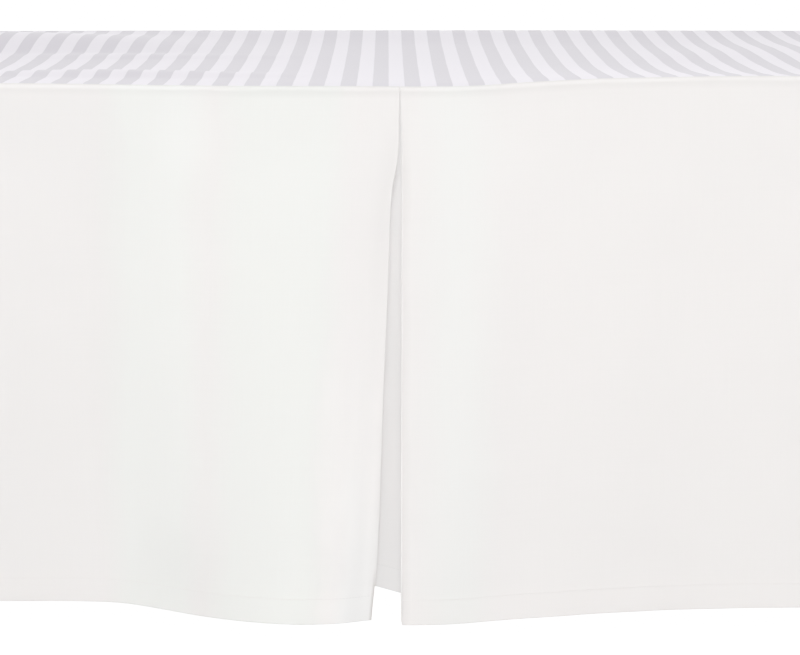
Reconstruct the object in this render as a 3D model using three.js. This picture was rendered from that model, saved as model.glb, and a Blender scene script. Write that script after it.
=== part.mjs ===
// A tailored cot bed skirt on a plain bed base, in millimetres, +Z up, front towards -Y.
// A striped cloth deck lies on the base's board, and four white drops hang from the deck's edges to just above the floor.
// The front drop is one length of cloth with an inverted pleat in its middle. Pieces sewn together are a seam's width apart.
import * as THREE from "three";

// ---- Driving dimensions ----
const SKIRT_LENGTH = 1320.8; // over the long sides of the deck, 52 in
const SKIRT_WIDTH = 711.2; // over the short sides of the deck, 28 in
const DROP = 418; // from the deck's seam to the hem
const FLOOR_GAP = 12; // from the floor to a straight hem
const CLOTH = 1; // thickness of the cloth
const SEAM_GAP = 0.3; // between pieces that are sewn or fitted together
const BOARD_CLEARANCE = 5.5; // from the back of a drop to the side of the board, which leaves room for the pleat's layers
const EDGE_ROLL = 6; // radius in which a drop turns over the edge of the deck
const HEM_HEIGHT = 25; // turned-up hem at the foot of a drop
const SIDE_HEM = 12; // turned-back hem at a drop's upright edges
const HEM_EXTRA = 1; // what a hem adds at the back of the cloth
const CORNER_GAP = 2.5; // from a drop's upright edge to the corner line
const MITRE_LENGTH = 40; // over which a drop's top edge is drawn in to the corner's mitre

// ---- Pleat ----
const PLEAT_DEPTH = 98; // from the middle of the front to the pleat's inner folds
const CREASE_RADIUS = 0.7; // of every fold where the pleat is caught in the seam
const FOLD_START = CREASE_RADIUS + CLOTH / 2 + SEAM_GAP / 2; // from the middle to where a front fold begins to turn
const LEFT_FOLD_TURN = 42; // degrees by which the face is turned back where it meets the fold, at the hem
const RIGHT_FOLD_TURN = 13;
const INNER_FOLDS = { radius: 2.5, out: 3, leftDrift: -12, rightDrift: -16 }; // at the hem
const INNER_FOLD_SETBACK = 2.1; // of the inner folds behind the seam's plane, at the seam

// ---- Bed base ----
const BOARD_THICKNESS = 20;
const BOARD_ROUNDING = 9; // of its edges
const BOARD_CORNER = 4; // radius of its corners, seen from above, on top of that
const RAIL_INSET = 15;
const RAIL_THICKNESS = 20;
const RAIL_HEIGHT = 70;
const LEG_SIDE = 45;

const DECK_HEIGHT = FLOOR_GAP + DROP; // of the middle of the deck's cloth
const HALF_LENGTH = SKIRT_LENGTH / 2 - CLOTH / 2; // to the middle of an end drop's cloth
const HALF_WIDTH = SKIRT_WIDTH / 2 - CLOTH / 2; // to the middle of a long drop's cloth
const RIGHT_ANGLE = Math.PI / 2;

// How far each drop's hem stands out from the plane of its seam, along its length. Negative is towards the bed.
const FRONT_LEFT_HEM = [
  { along: -658, out: 4 },
  { along: -560, out: 2 },
  { along: -430, out: -6 },
  { along: -314, out: -11 },
  { along: -251, out: -11 },
  { along: -220, out: -6 },
  { along: -188, out: 12 },
  { along: -157, out: 34 },
  { along: -125, out: 53 },
  { along: -94, out: 65 },
  { along: -63, out: 64 },
  { along: -46, out: 56 },
  { along: -26, out: 38 },
];
const FRONT_RIGHT_HEM = [
  { along: 6.6, out: 62 },
  { along: 31, out: 56 },
  { along: 63, out: 48 },
  { along: 94, out: 42 },
  { along: 126, out: 37 },
  { along: 157, out: 32 },
  { along: 189, out: 26 },
  { along: 220, out: 22 },
  { along: 307, out: 21 },
  { along: 430, out: 14 },
  { along: 560, out: 6 },
  { along: 658, out: 5 },
];
const BACK_HEM = [
  { along: -658, out: 5 },
  { along: -520, out: 9 },
  { along: -330, out: 2 },
  { along: -120, out: 11 },
  { along: 110, out: 4 },
  { along: 300, out: 12 },
  { along: 500, out: 4 },
  { along: 658, out: 6 },
];
const LEFT_END_HEM = [
  { along: -353, out: 6 },
  { along: -190, out: 11 },
  { along: -10, out: 3 },
  { along: 170, out: 12 },
  { along: 353, out: 5 },
];
const RIGHT_END_HEM = [
  { along: -353, out: 5 },
  { along: -200, out: 4 },
  { along: -30, out: 12 },
  { along: 180, out: 5 },
  { along: 353, out: 7 },
];

// How far the long seams stand above the deck's middle, which lies on the board, and how much longer the front drop is.
const FRONT_SEAM_LIFT = [
  { along: -658, lift: 0 },
  { along: -450, lift: 5.4 },
  { along: -314, lift: 6.4 },
  { along: -150, lift: 4.4 },
  { along: -40, lift: 4 },
  { along: 50, lift: 4 },
  { along: 110, lift: 7.6 },
  { along: 170, lift: 10.2 },
  { along: 314, lift: 11.8 },
  { along: 480, lift: 6.5 },
  { along: 658, lift: 0 },
];
const BACK_SEAM_LIFT = [
  { along: -658, lift: 0 },
  { along: -480, lift: 4 },
  { along: 480, lift: 4 },
  { along: 658, lift: 0 },
];
const FRONT_LEFT_EXTRA = [
  { along: -658, extra: 0 },
  { along: -480, extra: 1 },
  { along: -314, extra: 1.7 },
  { along: -250, extra: 1.6 },
  { along: -200, extra: 1.8 },
  { along: -150, extra: 2.8 },
  { along: -90, extra: 4.4 },
  { along: -60, extra: 5 },
  { along: 0, extra: 4.6 },
];
const FRONT_RIGHT_EXTRA = [
  { along: 0, extra: 5.7 },
  { along: 40, extra: 5.9 },
  { along: 70, extra: 5.6 },
  { along: 126, extra: 6.6 },
  { along: 314, extra: 5.8 },
  { along: 658, extra: 0 },
];
// The pleat's two front folds, from the seam at level 0 to the hem at level 1: how far each stands off the middle, and
// the radius in which it turns.
const PLEAT_FOLDS = [
  { level: 0, leftGape: 0, rightGape: 0, leftRadius: 0.7, rightRadius: 0.7 },
  { level: 0.05, leftGape: 0.4, rightGape: 0.5, leftRadius: 0.76, rightRadius: 0.76 },
  { level: 0.12, leftGape: 1, rightGape: 0.9, leftRadius: 0.86, rightRadius: 0.86 },
  { level: 0.17, leftGape: 5.1, rightGape: 1, leftRadius: 0.92, rightRadius: 0.92 },
  { level: 0.21, leftGape: 6.6, rightGape: 1, leftRadius: 0.97, rightRadius: 0.97 },
  { level: 0.31, leftGape: 8.4, rightGape: 1.1, leftRadius: 1.1, rightRadius: 1.1 },
  { level: 0.43, leftGape: 10, rightGape: 1.2, leftRadius: 1.26, rightRadius: 1.26 },
  { level: 0.54, leftGape: 12, rightGape: 1.3, leftRadius: 1.4, rightRadius: 1.4 },
  { level: 0.69, leftGape: 14.4, rightGape: 1.4, leftRadius: 1.6, rightRadius: 1.6 },
  { level: 0.88, leftGape: 17.5, rightGape: 1.4, leftRadius: 1.84, rightRadius: 1.84 },
  { level: 1, leftGape: 21.9, rightGape: 1.5, leftRadius: 2, rightRadius: 2 },
];
const FOLD_CURL = 8; // how much shorter the cloth hangs behind a front fold than before it
const UNDERLAY_HIKE = 10; // how much higher the pleat's underlay hangs
const UNDERLAY_HEM_WAVE = 8;
const UNDERLAY_BOW = 17; // how far the underlay swings in at the hem

// ---- Small helpers ----
const mix = (a, b, share) => a + (b - a) * share;
const clamp01 = (v) => Math.min(1, Math.max(0, v));
const smoothStep = (v) => clamp01(v) ** 2 * (3 - 2 * clamp01(v));
const range = (count) => Array.from({ length: count + 1 }, (_, i) => i / count);

// A smooth curve through a table's rows, flat beyond its first and last row.
function smoothTable(rows, column, key = "along") {
  const slope = (i) => {
    const before = rows[Math.max(i - 1, 0)];
    const after = rows[Math.min(i + 1, rows.length - 1)];
    return (after[column] - before[column]) / (after[key] - before[key]);
  };
  return (at) => {
    if (at <= rows[0][key]) return rows[0][column];
    if (at >= rows.at(-1)[key]) return rows.at(-1)[column];
    const i = rows.findIndex((row) => row[key] > at) - 1;
    const width = rows[i + 1][key] - rows[i][key];
    const t = (at - rows[i][key]) / width;
    return (
      rows[i][column] * (1 + 2 * t) * (1 - t) ** 2 +
      slope(i) * width * t * (1 - t) ** 2 +
      rows[i + 1][column] * t ** 2 * (3 - 2 * t) -
      slope(i + 1) * width * t ** 2 * (1 - t)
    );
  };
}

const frontSeamLift = smoothTable(FRONT_SEAM_LIFT, "lift");
const backSeamLift = smoothTable(BACK_SEAM_LIFT, "lift");
const frontLeftExtra = smoothTable(FRONT_LEFT_EXTRA, "extra");
const frontRightExtra = smoothTable(FRONT_RIGHT_EXTRA, "extra");
const frontLeftHem = smoothTable(FRONT_LEFT_HEM, "out");
const frontRightHem = smoothTable(FRONT_RIGHT_HEM, "out");
const ofPleat = (column) => smoothTable(PLEAT_FOLDS, column, "level");
const leftGape = ofPleat("leftGape");
const rightGape = ofPleat("rightGape");
const leftRadiusAt = ofPleat("leftRadius");
const rightRadiusAt = ofPleat("rightRadius");

// A cloth hangs almost straight from its edge, and a little steeper at first.
const FLARE_POWER = 1.1;
const flareAt = (level) => level ** FLARE_POWER;

// ---- Closed sheets ----
// Joins two equal grids of points, the face and the back of a cloth, into one closed solid.
function sheetGeometry(face, back) {
  const rows = face.length;
  const columns = face[0].length;
  const positions = [...face, ...back].flat().flatMap((p) => [p.x, p.y, p.z]);
  const faceAt = (r, c) => r * columns + c;
  const backAt = (r, c) => rows * columns + faceAt(r, c);
  const index = [];
  const quad = (a, b, c, d) => index.push(a, b, c, a, c, d);
  for (let r = 0; r < rows - 1; r++) {
    for (let c = 0; c < columns - 1; c++) {
      quad(faceAt(r, c), faceAt(r + 1, c), faceAt(r + 1, c + 1), faceAt(r, c + 1));
      quad(backAt(r, c), backAt(r, c + 1), backAt(r + 1, c + 1), backAt(r + 1, c));
    }
  }
  for (let r = 0; r < rows - 1; r++) {
    const last = columns - 1;
    quad(faceAt(r, 0), backAt(r, 0), backAt(r + 1, 0), faceAt(r + 1, 0));
    quad(faceAt(r, last), faceAt(r + 1, last), backAt(r + 1, last), backAt(r, last));
  }
  for (let c = 0; c < columns - 1; c++) {
    const last = rows - 1;
    quad(faceAt(0, c), faceAt(0, c + 1), backAt(0, c + 1), backAt(0, c));
    quad(faceAt(last, c), backAt(last, c), backAt(last, c + 1), faceAt(last, c + 1));
  }
  const geometry = new THREE.BufferGeometry();
  geometry.setAttribute("position", new THREE.Float32BufferAttribute(positions, 3));
  geometry.setIndex(index);
  geometry.computeVertexNormals();
  return geometry;
}

// ---- Drops ----
// A drop is drawn in its own frame: x along its seam, -y away from the bed, z = 0 at the middle of the deck's cloth.
// Its rows first turn over the deck's edge, then fall to the hem. Level is 0 at the edge and 1 at the hem.
const ROLL_STEPS = 4;
const FALL_LEVELS = [0.03, 0.08, 0.16, 0.27, 0.4, 0.54, 0.68, 0.81];
const HEM_STEP = 1.2; // height over which the cloth steps out to the hem's thickness
const hemTop = 1 - HEM_HEIGHT / DROP;

function dropRows() {
  const roll = range(ROLL_STEPS).map((share) => ({
    angle: share * RIGHT_ANGLE,
    level: 0,
  }));
  const fall = [...FALL_LEVELS, hemTop - HEM_STEP / DROP, hemTop, 1];
  return [...roll, ...fall.map((level) => ({ angle: RIGHT_ANGLE, level }))];
}

// Columns along a plain stretch of cloth, with close ones where a side hem ends.
function stretchStops(from, to, steps, crowding) {
  const atCorner = Math.abs(from) > Math.abs(to) ? from : to;
  const other = atCorner === from ? to : from;
  const inward = Math.sign(other - atCorner);
  const stops = [0, SIDE_HEM, SIDE_HEM + HEM_STEP].map((d) => atCorner + inward * d);
  const start = stops[2];
  const rest = range(steps)
    .slice(1)
    .map((share) => mix(other, start, (1 - share) ** crowding));
  const all = [...stops, ...rest];
  return atCorner === from ? all : all.reverse();
}

// A drop's upright edge follows the corner's mitre while it turns over the deck's edge.
function mitred(along, half, angle) {
  const inset = EDGE_ROLL * (1 - Math.sin(angle));
  const start = half - CORNER_GAP - MITRE_LENGTH;
  const pull = smoothStep((Math.abs(along) - start) / MITRE_LENGTH);
  return along - Math.sign(along) * inset * pull;
}

// Turns a drop's plan at every level into a closed sheet. A plan's points hold along, out, the face's normal in plan,
// the seam's lift, the length of the fall and whether the point lies in a side hem.
function dropGeometry(planAt, half) {
  const face = [];
  const back = [];
  for (const { angle, level } of dropRows()) {
    const outward = new THREE.Vector3(0, -Math.sin(angle), Math.cos(angle));
    const faceRow = [];
    const backRow = [];
    for (const stop of planAt(level)) {
      const x = mitred(stop.along, half, angle);
      const z = stop.lift - EDGE_ROLL - level * (stop.fall - EDGE_ROLL);
      const point = new THREE.Vector3(x, EDGE_ROLL, z).addScaledVector(outward, EDGE_ROLL + stop.out);
      const normal = outward.clone().multiplyScalar(stop.normalOut);
      normal.x = stop.normalAlong;
      const hemmed = level >= hemTop || stop.inSideHem;
      faceRow.push(point.clone().addScaledVector(normal, CLOTH / 2));
      backRow.push(point.clone().addScaledVector(normal, -CLOTH / 2 - (hemmed ? HEM_EXTRA : 0)));
    }
    face.push(faceRow);
    back.push(backRow);
  }
  // The seam's edge stands half a seam gap clear of the deck.
  for (const row of [face[0], back[0]]) {
    for (const point of row) point.y -= SEAM_GAP / 2;
  }
  return sheetGeometry(face, back);
}

// The height that a slanting drop falls from its seam, when its hem stands out by this much.
const fallFor = (hemOut, extra) => Math.sqrt(DROP ** 2 - hemOut ** 2) + extra;

// How far to either side of a point the slope is measured, and the slack in telling what is in a side hem.
const NUDGE = 1;
const SMALL = 0.01;

// One plain stretch of a drop at a level: its stops slide along by shift and stand out as the hem's table says.
function stretchPlan(stops, level, half, hemAt, shiftAt, liftAt, extraAt) {
  const place = (along, at) => along + shiftAt(along, at);
  const outAt = (along) => hemAt(place(along, 1)) * flareAt(level);
  return stops.map((along) => {
    const run = place(along + NUDGE, level) - place(along - NUDGE, level);
    const rise = outAt(along + NUDGE) - outAt(along - NUDGE);
    const size = Math.hypot(run, rise);
    return {
      along: place(along, level),
      out: outAt(along),
      normalAlong: -rise / size,
      normalOut: run / size,
      lift: liftAt(along),
      fall: fallFor(hemAt(place(along, 1)), extraAt(along)),
      inSideHem: Math.abs(along) >= half - CORNER_GAP - SIDE_HEM - SMALL,
    };
  });
}

const levelSeam = () => 0;

function plainDrop(half, hemRows, steps, liftAt = levelSeam) {
  const hemAt = smoothTable(hemRows, "out");
  const reach = half - CORNER_GAP;
  const middle = stretchStops(-reach, 0, steps, 1);
  const stops = [...middle, ...stretchStops(0, reach, steps, 1).slice(1)];
  const none = () => 0;
  return dropGeometry((level) => stretchPlan(stops, level, half, hemAt, none, liftAt, none), half);
}

const BACK_STEPS = 12;
const END_STEPS = 7;
const backDrop = () => plainDrop(HALF_LENGTH, BACK_HEM, BACK_STEPS, (along) => backSeamLift(-along));
const endDrop = (hemRows) => plainDrop(HALF_WIDTH, hemRows, END_STEPS);

// ---- The front drop's pleat ----
// In plan the pleat runs like a belt round four rods: the left fold, the two inner folds and the right fold.
const CLOCKWISE = -1;
const ANTICLOCKWISE = 1;
const OUTER_FOLD_STEPS = 5;
const INNER_FOLD_STEPS = 4;
const RETURN_STEPS = 3;
const UNDERLAY_STEPS = 10;

function foldRods(level) {
  const opened = flareAt(level);
  const leftTurn = -THREE.MathUtils.degToRad(LEFT_FOLD_TURN) * opened;
  const leftRadius = leftRadiusAt(level);
  const rightTurn = -THREE.MathUtils.degToRad(RIGHT_FOLD_TURN) * opened;
  const rightRadius = rightRadiusAt(level);
  const leftEnd = { along: -FOLD_START + leftShift(0, level), out: frontLeftHem(0) * opened };
  const rightEnd = { along: FOLD_START + rightShift(0, level), out: frontRightHem(0) * opened };
  const innerRadius = mix(CREASE_RADIUS, INNER_FOLDS.radius, opened);
  const innerOut = mix(-INNER_FOLD_SETBACK, INNER_FOLDS.out, opened);
  return {
    leftTurn,
    rightTurn,
    rods: [
      {
        along: leftEnd.along + leftRadius * Math.sin(leftTurn),
        out: leftEnd.out - leftRadius * Math.cos(leftTurn),
        radius: leftRadius,
        turn: CLOCKWISE,
        steps: OUTER_FOLD_STEPS,
      },
      {
        along: -PLEAT_DEPTH + INNER_FOLDS.leftDrift * opened,
        out: innerOut,
        radius: innerRadius,
        turn: ANTICLOCKWISE,
        steps: INNER_FOLD_STEPS,
      },
      {
        along: PLEAT_DEPTH + INNER_FOLDS.rightDrift * opened,
        out: innerOut,
        radius: innerRadius,
        turn: ANTICLOCKWISE,
        steps: INNER_FOLD_STEPS,
      },
      {
        along: rightEnd.along + rightRadius * Math.sin(rightTurn),
        out: rightEnd.out - rightRadius * Math.cos(rightTurn),
        radius: rightRadius,
        turn: CLOCKWISE,
        steps: OUTER_FOLD_STEPS,
      },
    ],
  };
}

// How far the cloth on either side of the pleat is drawn along the front, so that the pleat gapes towards the hem.
const DRAWN_LENGTH = 260;
const leftShift = (along, level) => -leftGape(level) * smoothStep(1 + along / DRAWN_LENGTH);
const rightShift = (along, level) => rightGape(level) * smoothStep(1 - along / DRAWN_LENGTH);

// The heading of the straight stretch between two rods, and where it leaves the first and meets the second.
function tangent(from, to) {
  const offset = from.radius * from.turn - to.radius * to.turn;
  const between = Math.atan2(to.out - from.out, to.along - from.along);
  const apart = Math.hypot(to.out - from.out, to.along - from.along);
  return between + Math.asin(offset / apart);
}

// A point on a rod where the cloth's heading is this angle.
function onRod(rod, heading) {
  const side = rod.radius * rod.turn;
  return {
    along: rod.along + side * Math.sin(heading),
    out: rod.out - side * Math.cos(heading),
    heading,
  };
}

function aroundRod(rod, headingIn, headingOut) {
  const full = 2 * Math.PI;
  const swept = (((headingOut - headingIn) * rod.turn) % full + full) % full;
  return range(rod.steps).map((share) => onRod(rod, headingIn + rod.turn * swept * share));
}

// A straight stretch between two folds, with the bow of a slack cloth, without its two ends.
function betweenRods(start, end, steps, bow) {
  return range(steps)
    .slice(1, -1)
    .map((share) => ({
      along: mix(start.along, end.along, share),
      out: mix(start.out, end.out, share) - bow * Math.sin(Math.PI * share) ** 2,
      heading:
        Math.atan2(end.out - start.out, end.along - start.along) -
        Math.atan((bow * Math.PI * Math.sin(2 * Math.PI * share)) / Math.hypot(end.along - start.along)),
    }));
}

// The pleat's points at a level, each with its share of the way from the left fold to the right one.
function pleatPoints(level) {
  const { rods, leftTurn, rightTurn } = foldRods(level);
  const [left, innerLeft, innerRight, right] = rods;
  const inward = tangent(left, innerLeft);
  const across = tangent(innerLeft, innerRight);
  const outward = tangent(innerRight, right);
  const leftFold = aroundRod(left, leftTurn, inward).slice(1);
  const innerLeftFold = aroundRod(innerLeft, inward, across);
  const innerRightFold = aroundRod(innerRight, across, outward);
  const rightFold = aroundRod(right, outward, rightTurn).slice(0, -1);
  const bow = UNDERLAY_BOW * flareAt(level);
  const part = (points, role) => points.map((point, i) => ({ ...point, role, share: i / (points.length - 1) }));
  const leftReturn = betweenRods(leftFold.at(-1), innerLeftFold[0], RETURN_STEPS, 0);
  const underlay = betweenRods(innerLeftFold.at(-1), innerRightFold[0], UNDERLAY_STEPS, bow);
  const rightReturn = betweenRods(innerRightFold.at(-1), rightFold[0], RETURN_STEPS, 0);
  return [
    ...part(leftFold, "leftFold"),
    ...part(leftReturn, "leftReturn"),
    ...part(innerLeftFold, "inner"),
    ...part(underlay, "underlay"),
    ...part(innerRightFold, "inner"),
    ...part(rightReturn, "rightReturn"),
    ...part(rightFold, "rightFold"),
  ];
}

// How much longer, or shorter, the cloth hangs in each part of the pleat.
function pleatExtra({ role, share }) {
  const left = frontLeftExtra(0);
  const right = frontRightExtra(0);
  if (role === "leftFold") return left - FOLD_CURL * share;
  if (role === "leftReturn") return mix(left - FOLD_CURL, -UNDERLAY_HIKE, share);
  if (role === "rightReturn") return mix(-UNDERLAY_HIKE, right - FOLD_CURL, share);
  if (role === "rightFold") return right - FOLD_CURL * (1 - share);
  const wave = role === "underlay" ? UNDERLAY_HEM_WAVE * Math.sin(2 * Math.PI * share) : 0;
  return -UNDERLAY_HIKE - wave;
}

function pleatPlan(level) {
  const atHem = pleatPoints(1);
  return pleatPoints(level).map((point, i) => ({
    along: point.along,
    out: point.out,
    normalAlong: -Math.sin(point.heading),
    normalOut: Math.cos(point.heading),
    lift: frontSeamLift(0),
    fall: fallFor(atHem[i].out, pleatExtra(point)),
    inSideHem: false,
  }));
}

const FACE_STEPS = 20;
const FACE_CROWDING = 1.5; // above 1, the columns lie closer together towards the pleat

function frontDrop() {
  const reach = HALF_LENGTH - CORNER_GAP;
  const leftStops = stretchStops(-reach, -FOLD_START, FACE_STEPS, FACE_CROWDING);
  const rightStops = stretchStops(FOLD_START, reach, FACE_STEPS, FACE_CROWDING);
  const stretch = (stops, level, hemAt, shiftAt, extraAt) =>
    stretchPlan(stops, level, HALF_LENGTH, hemAt, shiftAt, frontSeamLift, extraAt);
  return dropGeometry(
    (level) => [
      ...stretch(leftStops, level, frontLeftHem, leftShift, frontLeftExtra),
      ...pleatPlan(level),
      ...stretch(rightStops, level, frontRightHem, rightShift, frontRightExtra),
    ],
    HALF_LENGTH,
  );
}

// ---- Deck ----
// It lies on the board, but is slack along its long seams and stands up in a few soft folds, each an oval swelling.
const DECK_COLUMNS = 52;
const DECK_ROWS = 28;
const ROWS_TO_FRONT = 1.3; // above 1, the rows lie closer together towards the front
const FRONT_SLACK = 300; // how far behind the front seam the deck's slack reaches
const BACK_SLACK = 170; // and before the back seam
const DECK_DEPTH = 2 * (HALF_WIDTH - EDGE_ROLL - SEAM_GAP / 2);
const DECK_FOLDS = [
  { along: -235, behind: 140, halfLength: 200, halfWidth: 60, height: 3.6 },
  { along: -235, behind: 385, halfLength: 200, halfWidth: 45, height: 1.6 },
  { along: -390, behind: 540, halfLength: 260, halfWidth: 150, height: 11 },
  { along: 420, behind: 350, halfLength: 225, halfWidth: 320, height: 6 },
];

const swelling = (distance) => Math.max(0, 1 - distance ** 2) ** 2;
const SLACK_POWER = 1.5;
const slackAt = (lift, distance, reach) => lift * (1 - clamp01(distance / reach)) ** SLACK_POWER;

function deckLift(along, behind) {
  const frontSlack = slackAt(frontSeamLift(along), behind, FRONT_SLACK);
  const backSlack = slackAt(backSeamLift(along), DECK_DEPTH - behind, BACK_SLACK);
  const folds = DECK_FOLDS.map((fold) => {
    const away = Math.hypot((along - fold.along) / fold.halfLength, (behind - fold.behind) / fold.halfWidth);
    return fold.height * swelling(away);
  });
  return frontSlack + backSlack + folds.reduce((total, height) => total + height, 0);
}

function deckGeometry() {
  const halfAlong = HALF_LENGTH - EDGE_ROLL - SEAM_GAP / 2;
  const halfDeep = DECK_DEPTH / 2;
  const layer = (height) =>
    range(DECK_ROWS).map((deep) =>
      range(DECK_COLUMNS).map((share) => {
        const along = mix(-halfAlong, halfAlong, share);
        const behind = DECK_DEPTH * (1 - deep) ** ROWS_TO_FRONT;
        return new THREE.Vector3(along, behind - halfDeep, deckLift(along, behind) + height);
      }),
    );
  return sheetGeometry(layer(CLOTH / 2), layer(-CLOTH / 2));
}

// ---- Bed base ----
const BOARD_HALF_LENGTH = HALF_LENGTH - CLOTH / 2 - BOARD_CLEARANCE;
const BOARD_HALF_WIDTH = HALF_WIDTH - CLOTH / 2 - BOARD_CLEARANCE;
const BOARD_TOP = DECK_HEIGHT - CLOTH / 2 - SEAM_GAP;
const BOARD_BOTTOM = BOARD_TOP - BOARD_THICKNESS;

const ROUNDING_STEPS = 3;

function boardGeometry() {
  const corner = BOARD_ROUNDING + BOARD_CORNER;
  const shape = new THREE.Shape();
  shape.moveTo(-BOARD_HALF_LENGTH + corner, -BOARD_HALF_WIDTH);
  const corners = [
    { x: BOARD_HALF_LENGTH - corner, y: -BOARD_HALF_WIDTH + corner, start: -RIGHT_ANGLE },
    { x: BOARD_HALF_LENGTH - corner, y: BOARD_HALF_WIDTH - corner, start: 0 },
    { x: -BOARD_HALF_LENGTH + corner, y: BOARD_HALF_WIDTH - corner, start: RIGHT_ANGLE },
    { x: -BOARD_HALF_LENGTH + corner, y: -BOARD_HALF_WIDTH + corner, start: Math.PI },
  ];
  for (const { x, y, start } of corners) shape.absarc(x, y, corner, start, start + RIGHT_ANGLE, false);
  const geometry = new THREE.ExtrudeGeometry(shape, {
    depth: BOARD_THICKNESS - 2 * BOARD_ROUNDING,
    bevelThickness: BOARD_ROUNDING,
    bevelSize: BOARD_ROUNDING,
    bevelOffset: -BOARD_ROUNDING,
    bevelSegments: ROUNDING_STEPS,
    curveSegments: ROUNDING_STEPS,
  });
  return geometry.translate(0, 0, BOARD_BOTTOM + BOARD_ROUNDING);
}

const RAIL_TOP = BOARD_BOTTOM - SEAM_GAP;
const RAIL_OUTER_LENGTH = BOARD_HALF_LENGTH - RAIL_INSET;
const RAIL_OUTER_WIDTH = BOARD_HALF_WIDTH - RAIL_INSET;

function railGeometry(length) {
  return new THREE.BoxGeometry(length, RAIL_THICKNESS, RAIL_HEIGHT);
}

function legGeometry() {
  return new THREE.BoxGeometry(LEG_SIDE, LEG_SIDE, RAIL_TOP);
}

// ---- Materials ----
const whiteCloth = new THREE.MeshStandardMaterial({ color: 0xefeeec, roughness: 0.9, metalness: 0 });
const stripedCloth = new THREE.MeshStandardMaterial({ color: 0xe2e0e8, roughness: 0.9, metalness: 0 });
const paleWood = new THREE.MeshStandardMaterial({ color: 0xcfae82, roughness: 0.65, metalness: 0 });

// ---- The part ----
function piece(name, geometry, material) {
  const mesh = new THREE.Mesh(geometry, material);
  mesh.name = name;
  return mesh;
}

function drops() {
  const group = new THREE.Group();
  group.name = "drops";
  const sides = [
    { name: "front_drop", geometry: frontDrop(), out: HALF_WIDTH, turned: 0 },
    { name: "back_drop", geometry: backDrop(), out: HALF_WIDTH, turned: Math.PI },
    { name: "right_end_drop", geometry: endDrop(RIGHT_END_HEM), out: HALF_LENGTH, turned: RIGHT_ANGLE },
    { name: "left_end_drop", geometry: endDrop(LEFT_END_HEM), out: HALF_LENGTH, turned: -RIGHT_ANGLE },
  ];
  for (const { name, geometry, out, turned } of sides) {
    const side = piece(name, geometry, whiteCloth);
    const pivot = new THREE.Group();
    side.position.set(0, -out, DECK_HEIGHT);
    pivot.rotation.z = turned;
    pivot.add(side);
    group.add(pivot);
  }
  return group;
}

function bedBase() {
  const group = new THREE.Group();
  group.name = "bed_base";
  group.add(piece("base_board", boardGeometry(), paleWood));
  const railMiddle = RAIL_TOP - RAIL_HEIGHT / 2;
  const sides = [
    { label: "left", along: -1 },
    { label: "right", along: 1 },
  ];
  const faces = [
    { label: "front", deep: -1 },
    { label: "back", deep: 1 },
  ];
  for (const { label, deep } of faces) {
    const rail = piece(`base_rail_${label}`, railGeometry(2 * RAIL_OUTER_LENGTH), paleWood);
    rail.position.set(0, deep * (RAIL_OUTER_WIDTH - RAIL_THICKNESS / 2), railMiddle);
    group.add(rail);
  }
  const between = 2 * (RAIL_OUTER_WIDTH - RAIL_THICKNESS - SEAM_GAP);
  for (const { label, along } of sides) {
    const rail = piece(`base_rail_${label}`, railGeometry(between), paleWood);
    rail.position.set(along * (RAIL_OUTER_LENGTH - RAIL_THICKNESS / 2), 0, railMiddle);
    rail.rotation.z = RIGHT_ANGLE;
    group.add(rail);
  }
  const legInset = RAIL_THICKNESS + SEAM_GAP + LEG_SIDE / 2;
  for (const side of sides) {
    for (const face of faces) {
      const leg = piece(`base_leg_${face.label}_${side.label}`, legGeometry(), paleWood);
      leg.position.set(
        side.along * (RAIL_OUTER_LENGTH - legInset),
        face.deep * (RAIL_OUTER_WIDTH - legInset),
        RAIL_TOP / 2,
      );
      group.add(leg);
    }
  }
  return group;
}

// The part stands on z = 0, with the middle of its bounding box over the origin.
function bedSkirt() {
  const part = new THREE.Group();
  const deck = piece("deck", deckGeometry(), stripedCloth);
  deck.position.z = DECK_HEIGHT;
  part.add(deck, drops(), bedBase());
  part.updateMatrixWorld(true);
  const middle = new THREE.Box3().setFromObject(part, true).getCenter(new THREE.Vector3());
  for (const child of part.children) {
    child.position.x -= middle.x;
    child.position.y -= middle.y;
  }
  return part;
}

export default bedSkirt();
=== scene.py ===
# %% [markdown]
# # A tailored bed skirt on a cot-sized bed base
#
# A bed skirt has two parts that do two jobs. A flat cloth, the deck, lies on the bed base under the mattress, and the
# drops, long strips of cloth sewn to the deck's edges, hang down to hide what is under the bed. This one is tailored:
# its drops are plain panels with hems, and an inverted box pleat in the middle of the front lets it give when knees or
# feet push against it.
#
# The lesson makes the cloth from one idea. A hanging cloth is a path, seen from above, that changes slowly from the
# seam down to the hem. Each drop is a grid of points whose rows are such paths, and the two sides of the cloth are
# that grid pushed out along its normals. No simulation is needed, because a tailored panel hangs nearly straight and
# its few folds are known one by one.

# %% Load the measured model
import math

import bpy
import numpy as np
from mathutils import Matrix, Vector, noise


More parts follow.
